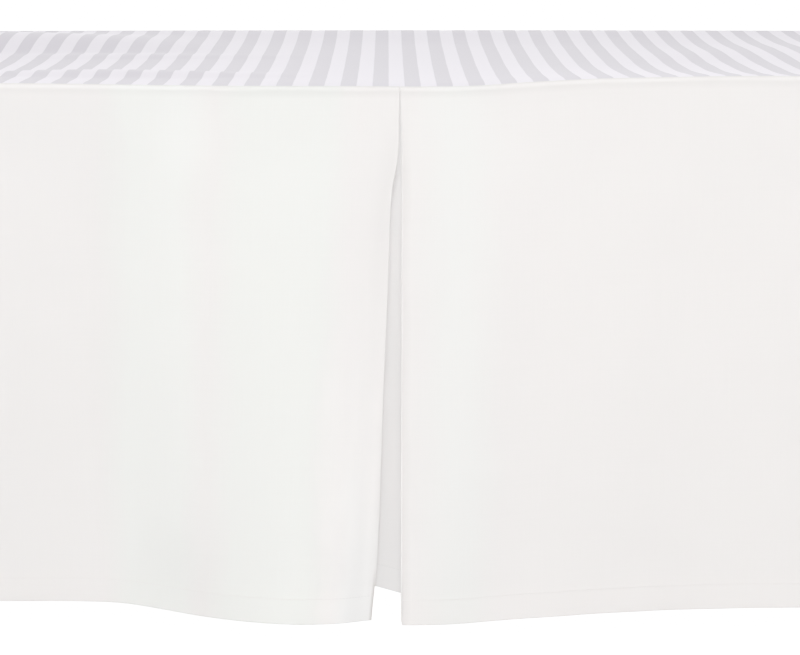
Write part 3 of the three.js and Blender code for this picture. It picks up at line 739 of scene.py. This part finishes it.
def make_drop(name, columns, plan, half, out, quarter_turns, ridges=(), seed=0.0):
    points = drop_points(plan, half)
    held = smooth_step(LEVELS / HELD_SHARE)[:, None]
    bumps = seam_puckers(points[..., 0], seed)
    bumps = bumps + soft_ridges(columns, LEVELS, ridges)
    swells = SWELL * held * slow_noise(points, SWELL_SIZE, seed)
    bumps = bumps + swells + RIPPLE * held * slow_noise(points, RIPPLE_SIZE, seed + 9)
    points = points + grid_normals(points) * bumps[..., None]
    points = turned(points, out, quarter_turns)
    cloth = cloth_from_grid(f"{name}_cloth", points, CLOTH, hem_depth(columns, half), edge_pinch(columns, half))
    return cloth, make_stitches(f"{name}_stitches", points, columns, half)


# %% [markdown]
# ## The front
#
# The front is one length of cloth: a plain face, the folded pleat and another plain face. Its columns are laid end to
# end in that order, and so are its paths, level by level. A few broad ridges stand where an ironed panel keeps the
# memory of how it was folded in its packet.

# %% Make the front
FACE_COLUMNS, FACE_CROWDING = 135, 1.25
FRONT_RIDGES = [  # place at mid height, slant, half width, height, from level, to level
    (-163, 6, 46, 2.4, 0.02, 0.98),
    (-72, -30, 60, 1.5, 0.1, 1.2),
    (66, 60, 40, 1.6, 0.05, 1.05),
    (205, -25, 60, 1.4, 0.1, 1.1),
    (-300, 10, 70, 1.2, 0.1, 1.1),
]


def make_front():
    reach = HALF_LENGTH - CORNER_GAP
    left = face_columns(-reach, -FOLD_START, FACE_COLUMNS, FACE_CROWDING)
    right = face_columns(reach, FOLD_START, FACE_COLUMNS, FACE_CROWDING)[::-1]

    def plan(level):
        faces = [
            stretch(left, level, FRONT_LEFT_HEM, left_shift, FRONT_SEAM_LIFT, FRONT_LEFT_EXTRA),
            stretch(right, level, FRONT_RIGHT_HEM, right_shift, FRONT_SEAM_LIFT, FRONT_RIGHT_EXTRA),
        ]
        path, _ = pleat_path(level)
        pleat = {
            "along": path[:, 0],
            "out": path[:, 1],
            "lift": np.full(len(path), float(FRONT_SEAM_LIFT(0))),
            "fall": PLEAT_FALL,
        }
        return {key: np.concatenate([faces[0][key], pleat[key], faces[1][key]]) for key in pleat}

    columns = np.concatenate([left, np.zeros(len(HEM_PATH)), right])
    return make_drop("front", columns, plan, HALF_LENGTH, HALF_WIDTH, 0, FRONT_RIDGES, seed=3.0)


front = make_front()
print("columns in the front:", 2 * (FACE_COLUMNS + len(SIDE_HEM_STOPS)) + len(HEM_PATH))

# %% [markdown]
# ## The back and the ends
#
# The other three drops are the same thing without a pleat, so one function makes them all. Each has its own hem table
# and its own seed for the unevenness, because two sides of a real skirt never hang alike.

# %% Make the other drops
LONG_SIDE_COLUMNS, SHORT_SIDE_COLUMNS = 110, 60


def back_lift(along):
    return BACK_SEAM_LIFT(-along)


def make_plain(name, half, hem, out, quarter_turns, count, lift=nothing, seed=0.0):
    reach = half - CORNER_GAP
    left = face_columns(-reach, 0, count)
    right = face_columns(reach, 0, count)[::-1]
    columns = np.concatenate([left, right[1:]])

    def plan(level):
        return stretch(columns, level, hem, no_shift, lift, nothing)

    return make_drop(name, columns, plan, half, out, quarter_turns, seed=seed)


sides = [
    front,
    make_plain("back", HALF_LENGTH, BACK_HEM, HALF_WIDTH, 2, LONG_SIDE_COLUMNS, back_lift, seed=21.0),
    make_plain("right_end", HALF_WIDTH, RIGHT_END_HEM, HALF_LENGTH, 1, SHORT_SIDE_COLUMNS, seed=33.0),
    make_plain("left_end", HALF_WIDTH, LEFT_END_HEM, HALF_LENGTH, 3, SHORT_SIDE_COLUMNS, seed=47.0),
]
drops = [cloth for cloth, _ in sides]
stitches = [thread for _, thread in sides]
for piece in drops + stitches:
    print(piece.name, "has", len(piece.data.polygons), "faces")

# %% [markdown]
# ## The deck
#
# The deck is one flat panel, a little slack. It is held only at its edges, so it lies on the board in the middle, rises
# to the seams, and stands up in a few soft folds. Seen from almost its own level these small heights bend the stripes
# strongly, which is why they are worth placing one by one.

# %% Make the deck
DECK_DEPTH = 2 * (HALF_WIDTH - EDGE_ROLL - SEAM_GAP / 2)
FRONT_SLACK, BACK_SLACK = 300.0, 170.0
DECK_FOLDS = [  # along, behind the front seam, half length, half width, height
    (-235, 140, 200, 60, 3.6),
    (-235, 385, 200, 45, 1.6),
    (-390, 540, 260, 150, 11),
    (420, 350, 225, 320, 6),
]
DECK_COLUMNS, DECK_ROWS, DECK_CROWDING = 250, 120, 1.15
DECK_EDGE_STOPS = np.array([0, 0.6, 1.6, 3, 5])
DECK_SIDE_MARGIN, DECK_END_MARGIN = 9, 7  # where the evenly set columns and rows begin
EDGE_DIP, EDGE_DIP_REACH = 0.35, 1.8  # where the seam pulls the deck's edge down
FREE_FROM_EDGE = 30.0  # where the cloth may be as uneven as it likes
BILLOW, BILLOW_SIZE = 0.5, 90
WRINKLE, WRINKLE_SIZE = 0.12, 22


def deck_lift(along, behind):
    front = FRONT_SEAM_LIFT(along) * (1 - np.clip(behind / FRONT_SLACK, 0, 1)) ** 1.5
    back = BACK_SEAM_LIFT(along) * (1 - np.clip((DECK_DEPTH - behind) / BACK_SLACK, 0, 1)) ** 1.5
    total = front + back
    for place, depth, half_length, half_width, height in DECK_FOLDS:
        total = total + height * hump(np.hypot((along - place) / half_length, (behind - depth) / half_width))
    return total


def make_deck():
    half = HALF_LENGTH - EDGE_ROLL - SEAM_GAP / 2
    inset = DECK_EDGE_STOPS
    inner_columns = np.linspace(-half + DECK_SIDE_MARGIN, half - DECK_SIDE_MARGIN, DECK_COLUMNS)
    inner_depth = DECK_DEPTH - 2 * DECK_END_MARGIN
    inner_rows = DECK_END_MARGIN + inner_depth * np.linspace(0, 1, DECK_ROWS) ** DECK_CROWDING
    columns = np.concatenate([-half + inset, inner_columns, half - inset[::-1]])
    along, depth = np.meshgrid(columns, np.concatenate([inset, inner_rows, DECK_DEPTH - inset[::-1]]))
    z = deck_lift(along, depth)
    edge = np.minimum.reduce([half - np.abs(along), depth, DECK_DEPTH - depth])
    z = z - EDGE_DIP * np.maximum(0, 1 - edge / EDGE_DIP_REACH) ** 2
    points = np.stack([along, depth - DECK_DEPTH / 2, z], axis=-1)
    free = smooth_step(edge / FREE_FROM_EDGE)
    billows = BILLOW * (1 + slow_noise(points, BILLOW_SIZE, 61.0))
    points[..., 2] += free * (billows + WRINKLE * slow_noise(points, WRINKLE_SIZE, 71.0))
    return cloth_from_grid("deck_cloth", points + DECK_ORIGIN, CLOTH, 0.0, 0.0, flip=True)


deck_cloth = make_deck()
print(deck_cloth.name, "has", len(deck_cloth.data.polygons), "faces")

# %% [markdown]
# ## Cloth in close-up
#
# Both cloths are a plain weave: warp threads run down the cloth, weft threads across it, and each goes over one and
# under one. The threads are drawn on the flat pattern, so they follow the cloth round every fold. At arm's length the
# weave is too fine to see, and what shows is its unevenness: threads that are a little thicker or thinner for a few
# centimetres.
#
# A few helpers first. Blender's nodes can be written like sums: `maths` is one operation, `noise_of` a noise, and
# `tinted` a colour made lighter or darker. Each returns the socket that the next one takes.

# %% Make a material and a node
def new_material(name):
    material = bpy.data.materials.new(name)
    material.use_nodes = True
    tree = material.node_tree
    return material, tree, tree.nodes["Principled BSDF"]


def add_node(tree, kind, inputs=(), **settings):
    """A new node with its settings, and its inputs given as numbers or as other nodes' outputs."""
    made = tree.nodes.new(kind)
    for key, value in settings.items():
        setattr(made, key, value)
    for key, value in dict(inputs).items():
        if isinstance(value, bpy.types.NodeSocket):
            tree.links.new(value, made.inputs[key])
        else:
            made.inputs[key].default_value = value
    return made


# %% Sums, noises and colours
def maths(tree, operation, first, second=0.0, third=0.0):
    return add_node(tree, "ShaderNodeMath", {0: first, 1: second, 2: third}, operation=operation).outputs[0]


def scaled(tree, vector, scale):
    made = add_node(tree, "ShaderNodeVectorMath", {0: vector, 1: scale}, operation="MULTIPLY")
    return made.outputs["Vector"]


def noise_of(tree, vector, scale, detail=2.0, roughness=0.5):
    """Noise between 0 and 1; scale is swells to the metre, the same both ways or one number for each."""
    stretched = scaled(tree, vector, scale)
    settings = {"Vector": stretched, "Scale": 1, "Detail": detail, "Roughness": roughness}
    return add_node(tree, "ShaderNodeTexNoise", settings).outputs["Fac"]


def around_one(tree, value, swing):
    """Turns noise into a factor that swings about 1."""
    return maths(tree, "MULTIPLY_ADD", value, 2 * swing, 1 - swing)


def tinted(tree, colour, factor):
    """A colour times a number."""
    if not isinstance(colour, bpy.types.NodeSocket):
        colour = colour_node(tree, colour)
    made = add_node(tree, "ShaderNodeVectorMath", {0: colour, "Scale": factor}, operation="SCALE")
    return made.outputs["Vector"]


def colour_node(tree, colour):
    made = add_node(tree, "ShaderNodeRGB")
    made.outputs[0].default_value = (*colour, 1)
    return made.outputs[0]


def blend_colours(tree, share, first, second):
    made = add_node(tree, "ShaderNodeMix", {0: share}, data_type="RGBA")
    for socket, colour in ((6, first), (7, second)):
        if isinstance(colour, bpy.types.NodeSocket):
            tree.links.new(colour, made.inputs[socket])
        else:
            made.inputs[socket].default_value = (*colour, 1)
    return made.outputs[2]


# %% [markdown]
# ## Weave and light in thin cloth
#
# Real threads would be millions of faces, so the weave is bump: two sine waves multiplied give the over and under.
#
# Thin white cotton also lets some light in. A little subsurface scattering, with a radius of the order of the cloth's
# thickness, softens every fold, and a weak sheen stands for the fuzz that brightens cloth where it turns away.

# %% Name the cloth's qualities
THREADS = 2400.0  # to the metre, each way
THREAD_SHADE = 0.012  # how much lighter or darker a thread is than its neighbours
WARP_RUNS, WEFT_RUNS = (900, 14, 1), (11, 900, 1)  # swells to the metre, across the panel and down it
WEAVE_DEPTH, WEAVE_STRENGTH = 0.06 * MM, 0.25
CLOTH_ROUGHNESS = 0.88
CLOTH_SPECULAR = 0.2
FUZZ, FUZZ_ROUGHNESS = 0.2, 0.6
TRANSLUCENCY = 0.8
SCATTERING = 0.7 * MM  # how far light wanders inside the cloth
print("a thread is", round(1000 / THREADS, 2), "mm wide")


# %% Weave the cloth
def weave_height(tree, across, down):
    """1 on top of each thread and 0 between threads, with the over and under of a plain weave."""
    x = maths(tree, "MULTIPLY", across, THREADS * math.pi)
    y = maths(tree, "MULTIPLY", down, THREADS * math.pi)
    over = maths(tree, "MULTIPLY", maths(tree, "SINE", x), maths(tree, "SINE", y))
    return maths(tree, "MULTIPLY_ADD", over, 0.5, 0.5)


def thread_unevenness(tree, uv, swing):
    """Threads that are thicker or thinner for a few centimetres, both ways."""
    down = around_one(tree, noise_of(tree, uv, WARP_RUNS), swing)
    across = around_one(tree, noise_of(tree, uv, WEFT_RUNS), swing)
    return maths(tree, "MULTIPLY", down, across)


def finish_cloth(tree, shader, uv, colour, translucency):
    """Sets all that a plain-woven cloth needs but its colour."""
    split = add_node(tree, "ShaderNodeSeparateXYZ", {0: uv})
    height = weave_height(tree, split.outputs["X"], split.outputs["Y"])
    uneven = thread_unevenness(tree, uv, THREAD_SHADE)
    shade = maths(tree, "MULTIPLY", uneven, around_one(tree, height, THREAD_SHADE))
    tree.links.new(tinted(tree, colour, shade), shader.inputs["Base Color"])
    bump = add_node(tree, "ShaderNodeBump", {"Height": height, "Strength": WEAVE_STRENGTH, "Distance": WEAVE_DEPTH})
    tree.links.new(bump.outputs["Normal"], shader.inputs["Normal"])
    shader.inputs["Roughness"].default_value = CLOTH_ROUGHNESS
    shader.inputs["Specular IOR Level"].default_value = CLOTH_SPECULAR
    shader.inputs["Sheen Weight"].default_value = FUZZ
    shader.inputs["Sheen Roughness"].default_value = FUZZ_ROUGHNESS
    shader.inputs["Subsurface Weight"].default_value = translucency
    shader.inputs["Subsurface Radius"].default_value = (1.0, 1.0, 1.0)
    shader.inputs["Subsurface Scale"].default_value = SCATTERING


# %% [markdown]
# ## A white that is not one white
#
# A panel that was folded for its packet and then ironed is never evenly white: where it was pressed harder it is a
# little lighter or greener. Beside the pleat the colour also holds painted shade, along the folds' edges and where the
# left fold turns away near the top, and painted light, on the face below that and on the cloth inside the pleat, which
# the lights reach less.
# Most of these differences are a few hundredths, but on a plain white panel in even light they are all there is to see.
#
# Each is a band on the flat pattern: `away` measures how far a point is from the band's middle, a noise makes the
# band's sides ragged, and `ramp` turns the two into a share of the band's colour. A painted texture could hold them
# too, but bands that are named in millimetres stay with their folds when the pleat is changed.

# %% Name the whites
WHITE = (0.831, 0.799, 0.782)
EVERYWHERE = (-100, -50)  # it has come in above the seam already
# Some rows are pressed bands, and the rest are painted shade and painted light beside the pleat's folds.
FRONT_TINTS_AND_PAINTED_LIGHT = [  # middle, half width and fade, in mm along the drop from its left side; where it comes in; colour
    (330, 95, 40, EVERYWHERE, (0.861, 0.828, 0.811)),  # pressed bands, three on the left face and one on the right
    (463, 34, 26, EVERYWHERE, (0.850, 0.856, 0.820)),
    (562, 44, 26, EVERYWHERE, (0.812, 0.818, 0.783)),
    (1095, 22, 26, EVERYWHERE, (0.828, 0.822, 0.797)),
    (648, 7, 12, (30, 60), (0.797, 0.766, 0.75)),  # painted shade beside the left fold, above, where it turns away
    (640, 26, 26, (120, 400), (0.97, 0.928, 0.905)),  # painted light beside the left fold, below, where the face gets less light
    (654, 4.2, 1.5, (385, 400), (0.70, 0.663, 0.648)),  # painted shade on the left fold's edge at the hem
    (1045, 9, 6, (10, 60), (0.755, 0.722, 0.706)),  # painted shade on the right fold's edge
    (851.5, 197.5, 2, EVERYWHERE, (0.978, 0.923, 0.91)),  # painted light inside the pleat, which the lights reach less
    (1050, 1.1, 0.8, (385, 400), (0.72, 0.69, 0.675)),  # painted shade on the right fold's edge at the hem
]
BAND_RAGS, BAND_RAG_DETAIL, BAND_RAG_ROUGHNESS = (26, 14, 1), 3.0, 0.55
# painted shade on the turned edge at the seam
SEAM_SHADE, SEAM_SHADE_FROM, SEAM_SHADE_TO = 0.91, 7 * MM, 13 * MM
print("tints on the front:", len(FRONT_TINTS_AND_PAINTED_LIGHT))


# %% Make the white cloth
def ramp(tree, value, start, end, first=0.0, last=1.0):
    """Goes from one number to another while the value goes from start to end, and is level outside."""
    return add_node(tree, "ShaderNodeMapRange", {0: value, 1: start, 2: end, 3: first, 4: last}).outputs[0]


def uneven_white_and_painted_light(tree, uv, tints):
    """White cloth with upright bands of another white: pressed bands, and painted shade and painted light beside the
    pleat's folds. The bands have ragged sides.
    """
    split = add_node(tree, "ShaderNodeSeparateXYZ", {0: uv})
    ragged = noise_of(tree, uv, BAND_RAGS, BAND_RAG_DETAIL, BAND_RAG_ROUGHNESS)
    colour = colour_node(tree, WHITE)
    for middle, half_width, fade, (above, below), tint in tints:
        across = maths(tree, "ADD", split.outputs["X"], maths(tree, "MULTIPLY_ADD", ragged, fade * MM, -fade / 2 * MM))
        away = maths(tree, "ABSOLUTE", maths(tree, "SUBTRACT", across, middle * MM))
        band = ramp(tree, away, (half_width - fade / 2) * MM, (half_width + fade / 2) * MM, 1.0, 0.0)
        share = maths(tree, "MULTIPLY", band, ramp(tree, split.outputs["Y"], above * MM, below * MM))
        colour = blend_colours(tree, share, colour, tint)
    return colour


def seam_shade(tree, uv):
    """Painted shade: the turned edge at the seam is drawn a little darker, which dims the bright roll where the cloth
    turns over the deck's edge.
    """
    down = add_node(tree, "ShaderNodeSeparateXYZ", {0: uv}).outputs["Y"]
    return ramp(tree, down, SEAM_SHADE_FROM, SEAM_SHADE_TO, SEAM_SHADE, 1.0)


def white_cloth_material(name, tints=()):
    material, tree, shader = new_material(name)
    uv = add_node(tree, "ShaderNodeUVMap", uv_map="flat_pattern").outputs["UV"]
    colour = tinted(tree, uneven_white_and_painted_light(tree, uv, tints), seam_shade(tree, uv))
    finish_cloth(tree, shader, uv, colour, TRANSLUCENCY)
    return material


front_white_cloth = white_cloth_material("front_white_cloth", FRONT_TINTS_AND_PAINTED_LIGHT)
white_cloth = white_cloth_material("white_cloth")
print("nodes in the front's cloth:", len(front_white_cloth.node_tree.nodes))

# %% [markdown]
# ## The thread
#
# Sewing thread is spun harder than the cloth, so it is a little glossier, and its twist shows as fine light and dark.

# %% Make the thread
TWISTS = (3000, 3000, 3000)  # to the metre
TWIST_SHADE = 0.04
THREAD_ROUGHNESS, THREAD_SPECULAR = 0.6, 0.3


def thread_material():
    material, tree, shader = new_material("white_thread")
    place = add_node(tree, "ShaderNodeTexCoord").outputs["Object"]
    twist = around_one(tree, noise_of(tree, place, TWISTS), TWIST_SHADE)
    tree.links.new(tinted(tree, WHITE, twist), shader.inputs["Base Color"])
    shader.inputs["Roughness"].default_value = THREAD_ROUGHNESS
    shader.inputs["Specular IOR Level"].default_value = THREAD_SPECULAR
    return material


white_thread = thread_material()
print("made", white_thread.name)

# %% [markdown]
# ## Stripes that are woven, not printed
#
# Even stripes half an inch wide run from front to back: white threads, then white threads with lavender grey ones. The
# warp carries the colour, and the white weft crosses it everywhere, which is what makes the grey so pale. A white
# stripe lies almost exactly at the middle of the deck.
#
# `stripe_share` is a cosine made steep and cut off at 0 and 1, which gives a square wave with soft edges. They are half
# a millimetre wide, because threads end a stripe, never a ruler, and the stripes wander by as much. The deck lies on
# its board, which swallows what light comes through, so this cloth needs no scattering.

# %% Make the striped cloth
STRIPE = 12.7 * MM
WHITE_STRIPE_MIDDLE = -2.5 * MM  # from the middle of the deck
STRIPE_WHITE = (0.878, 0.833, 0.918)
STRIPE_GREY = (0.585, 0.546, 0.624)
STRIPE_STEEPNESS = 8.0
STRIPE_WANDER, WANDER_SWELLS = 0.6 * MM, (6, 6, 1)
GREY_UNEVENNESS, GREY_RUNS = 0.12, (1200, 25, 1)
DECK_TRANSLUCENCY = 0.0


def stripe_share(tree, across):
    """0 in a white stripe and 1 in a grey one."""
    middle = (deck_high[0] - deck_low[0]) / 2 + WHITE_STRIPE_MIDDLE
    turn = maths(tree, "MULTIPLY_ADD", across, math.pi / STRIPE, -middle * math.pi / STRIPE)
    wave = maths(tree, "COSINE", turn)
    steep = maths(tree, "MULTIPLY_ADD", wave, -STRIPE_STEEPNESS, 0.5)
    return add_node(tree, "ShaderNodeClamp", {0: steep}).outputs[0]


def striped_cloth_material():
    material, tree, shader = new_material("striped_cloth")
    uv = add_node(tree, "ShaderNodeUVMap", uv_map="flat_pattern").outputs["UV"]
    split = add_node(tree, "ShaderNodeSeparateXYZ", {0: uv})
    wobble = maths(tree, "MULTIPLY_ADD", noise_of(tree, uv, WANDER_SWELLS), STRIPE_WANDER, -STRIPE_WANDER / 2)
    across = maths(tree, "ADD", split.outputs["X"], wobble)
    uneven = around_one(tree, noise_of(tree, uv, GREY_RUNS), GREY_UNEVENNESS)
    share = maths(tree, "MULTIPLY", stripe_share(tree, across), uneven)
    colour = blend_colours(tree, share, STRIPE_WHITE, STRIPE_GREY)
    finish_cloth(tree, shader, uv, colour, DECK_TRANSLUCENCY)
    return material


striped_cloth = striped_cloth_material()
print("stripes across the deck:", round((deck_high[0] - deck_low[0]) / STRIPE))

# %% [markdown]
# ## The bed base
#
# The base is plain: a plywood board on pine rails and legs. It hardly shows, but it is there for whoever looks under
# the bed. Wood is drawn along its grain: rings are stretched a long way along the piece and lie close across it, so the
# same few nodes serve for every piece once they know which axis the grain runs along.

# %% Make the wood
PINE_LIGHT, PINE_DARK = (0.66, 0.46, 0.27), (0.50, 0.31, 0.16)
PLY_LIGHT, PLY_DARK = (0.70, 0.54, 0.36), (0.58, 0.42, 0.26)
GRAIN_SCALES = {"x": (1.6, 26, 26), "y": (26, 1.6, 26), "z": (26, 26, 1.6)}  # swells to the metre
PLY = 3.3 * MM
PLY_SHADE, PLY_SWING = 0.95, 0.06
RINGS = 60.0  # how fast light and dark change across the grain
RING_DETAIL, RING_ROUGHNESS = 3.0, 0.55
FIBRE_FINENESS = 12  # times finer than the rings
FIBRE_DETAIL, FIBRE_ROUGHNESS = 3.0, 0.6
FIBRE_DEPTH, FIBRE_STRENGTH = 0.3 * MM, 0.3
WOOD_ROUGHNESS = 0.55


def wood_material(name, axis, light, dark, plies=False):
    material, tree, shader = new_material(name)
    place = add_node(tree, "ShaderNodeTexCoord").outputs["Object"]
    scales = GRAIN_SCALES[axis]
    rings = noise_of(tree, place, scales, RING_DETAIL, RING_ROUGHNESS)
    bands = maths(tree, "MULTIPLY_ADD", maths(tree, "SINE", maths(tree, "MULTIPLY", rings, RINGS)), 0.5, 0.5)
    finer = tuple(FIBRE_FINENESS * scale for scale in scales)
    fibres = noise_of(tree, place, finer, FIBRE_DETAIL, FIBRE_ROUGHNESS)
    share = maths(tree, "MULTIPLY_ADD", fibres, 0.5, maths(tree, "MULTIPLY", bands, 0.5))
    colour = blend_colours(tree, share, light, dark)
    if plies:
        split = add_node(tree, "ShaderNodeSeparateXYZ", {0: place})
        layer = maths(tree, "SINE", maths(tree, "MULTIPLY", split.outputs["Z"], math.pi / PLY))
        colour = tinted(tree, colour, maths(tree, "MULTIPLY_ADD", layer, PLY_SWING, PLY_SHADE))
    tree.links.new(colour, shader.inputs["Base Color"])
    bump = add_node(tree, "ShaderNodeBump", {"Height": fibres, "Strength": FIBRE_STRENGTH, "Distance": FIBRE_DEPTH})
    tree.links.new(bump.outputs["Normal"], shader.inputs["Normal"])
    shader.inputs["Roughness"].default_value = WOOD_ROUGHNESS
    return material


pine_along = wood_material("pine_along_x", "x", PINE_LIGHT, PINE_DARK)
pine_across = wood_material("pine_along_y", "y", PINE_LIGHT, PINE_DARK)
pine_upright = wood_material("pine_along_z", "z", PINE_LIGHT, PINE_DARK)
plywood = wood_material("plywood", "x", PLY_LIGHT, PLY_DARK, plies=True)
print("materials:", [material.name for material in bpy.data.materials])

# %% [markdown]
# ## Who wears what
#
# The front drop has its own cloth, because only it carries the pressed bands beside its pleat and the painted shade and
# painted light along its folds. The other drops share the plain one. The wooden pieces keep the measured model's own
# meshes and only change their finish.

# %% Dress the pieces
def dress(node_name, material):
    """Gives a measured part a better finish."""
    mesh = bpy.data.objects[node_name].data
    for index in range(len(mesh.materials)):
        mesh.materials[index] = material
    if not mesh.materials:
        mesh.materials.append(material)


front_cloth, *plain_cloths = drops
front_cloth.data.materials.append(front_white_cloth)
for piece in plain_cloths:
    piece.data.materials.append(white_cloth)
for piece in stitches:
    piece.data.materials.append(white_thread)
deck_cloth.data.materials.append(striped_cloth)

dress("base_board", plywood)
for side in ("front", "back"):
    dress(f"base_rail_{side}", pine_along)
    for end in ("left", "right"):
        dress(f"base_leg_{side}_{end}", pine_upright)
for end in ("left", "right"):
    dress(f"base_rail_{end}", pine_across)

# %% [markdown]
# ## The floor
#
# The floor is plain white paper. It glows a little, as paper does that is lit on its own, so that it comes out clean
# white. The glow is for the eye alone: it is kept off the skirt, whose foot it would brighten from below.

# %% Lay the floor
FLOOR_REACH = 30.0  # m, from the middle to each edge
FLOOR_COLOUR, FLOOR_GLOW, FLOOR_ROUGHNESS = (0.5, 0.5, 0.5), 1.45, 0.9


def make_floor():
    mesh = bpy.data.meshes.new("floor")
    corners = [(-1, -1), (1, -1), (1, 1), (-1, 1)]
    mesh.from_pydata([(x * FLOOR_REACH, y * FLOOR_REACH, 0) for x, y in corners], [], [(0, 1, 2, 3)])
    floor = bpy.data.objects.new("floor", mesh)
    bpy.context.scene.collection.objects.link(floor)
    material, _, shader = new_material("floor_paper")
    shader.inputs["Base Color"].default_value = (*FLOOR_COLOUR, 1)
    shader.inputs["Roughness"].default_value = FLOOR_ROUGHNESS
    shader.inputs["Emission Color"].default_value = (1, 1, 1, 1)
    shader.inputs["Emission Strength"].default_value = FLOOR_GLOW
    mesh.materials.append(material)
    floor.visible_diffuse = False
    return floor


floor = make_floor()
print("the floor is", 2 * FLOOR_REACH, "m wide")

# %% [markdown]
# ## The lights
#
# White cloth on white paper needs even light, but a pleat needs light that reaches into it. One tall light does that.
# It stands behind the camera and is only a hand wide, so its shadows fall exactly behind the folds that cast them,
# where the camera can't see them. A wide one would leave a dark rim inside each fold.
#
# Two soft lights from the sides model the swells of the hem, a narrow one from above lights the deck, which the front
# light only grazes, and three behind keep the back and the ends from going grey. The world adds a little light from
# everywhere.

# %% Set up the lights
WORLD_STRENGTH = 0.18
AIM, DECK_AIM = (0.0, 0.0, 0.25), (0, -0.2, 0.4)
LIGHTS = [  # name, place, where it aims, width, height, power
    ("front_light", (-0.01, -4.4, 0.95), AIM, 0.14, 1.6, 90),
    ("front_left_light", (-4.0, -1.3, 1.0), AIM, 1.2, 1.4, 44),
    ("front_right_light", (3.1, -3.0, 1.0), AIM, 1.2, 1.4, 38),
    ("back_light", (0.0, 4.4, 0.8), AIM, 2.0, 1.2, 80),
    ("back_left_light", (-3.8, 1.9, 0.8), AIM, 1.6, 1.2, 80),
    ("back_right_light", (3.8, 1.9, 0.8), AIM, 1.6, 1.2, 80),
    ("top_light", (0.0, -1.6, 3.0), DECK_AIM, 0.6, 2.0, 51),
]


def make_area_light(name, place, aim, width, height, power):
    data = bpy.data.lights.new(name, "AREA")
    data.shape = "RECTANGLE"
    data.size, data.size_y = width, height
    data.energy = power
    light = bpy.data.objects.new(name, data)
    light.location = place
    light.rotation_euler = (Vector(aim) - Vector(place)).to_track_quat("-Z", "Y").to_euler()
    light.visible_camera = False
    bpy.context.scene.collection.objects.link(light)
    return light


def make_world():
    world = bpy.data.worlds.new("studio")
    bpy.context.scene.world = world
    world.use_nodes = True
    background = world.node_tree.nodes["Background"]
    background.inputs["Color"].default_value = (1, 1, 1, 1)
    background.inputs["Strength"].default_value = WORLD_STRENGTH


make_world()
lights = [make_area_light(*row) for row in LIGHTS]
print("lights:", [light.name for light in lights])

# %% [markdown]
# ## A camera's idea of white
#
# A straight conversion from light to picture would clip this scene: the cloth reflects almost all of its light, and the
# paper gives more than all. A camera bends its tones instead, steeply in the shadows and flatly near white. The curve
# below does the same. Each row says how bright the light is and how bright it is shown, and everything above
# `BRIGHTEST` is plain white. Whites keep their differences, but those differences are small.

# %% Set the tone curve
BRIGHTEST = 1.4
TONE_CURVE = [(0.18, 0.25), (0.4, 0.53), (0.6, 0.69), (0.75, 0.781), (0.9, 0.871), (1.0, 0.926), (1.2, 0.985)]


def set_tone_curve():
    view = bpy.context.scene.view_settings
    view.view_transform = "Standard"
    view.use_curve_mapping = True
    mapping = view.curve_mapping
    mapping.white_level = (BRIGHTEST, BRIGHTEST, BRIGHTEST)
    curve = mapping.curves[3]
    for light, shown in TONE_CURVE:
        curve.points.new(light / BRIGHTEST, shown)
    curve.points[0].location = (0, 0)
    curve.points[-1].location = (1, 1)
    mapping.update()


set_tone_curve()
print("light of 1.0 is shown at", dict(TONE_CURVE)[1.0])

# %% [markdown]
# ## What each piece is
#
# The pieces are tied to the measured model. Each cloth stands for a solid of the same place and size, whose solid is
# hidden, and every piece is attached to the root body.

def declare(piece, cad_node=None):
    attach(piece, "root")
    if cad_node:
        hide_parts(cad_node)


for piece, cad_node in zip(drops, ("front_drop", "back_drop", "right_end_drop", "left_end_drop")):
    declare(piece, cad_node)
for piece in stitches:
    declare(piece)
declare(deck_cloth, "deck")
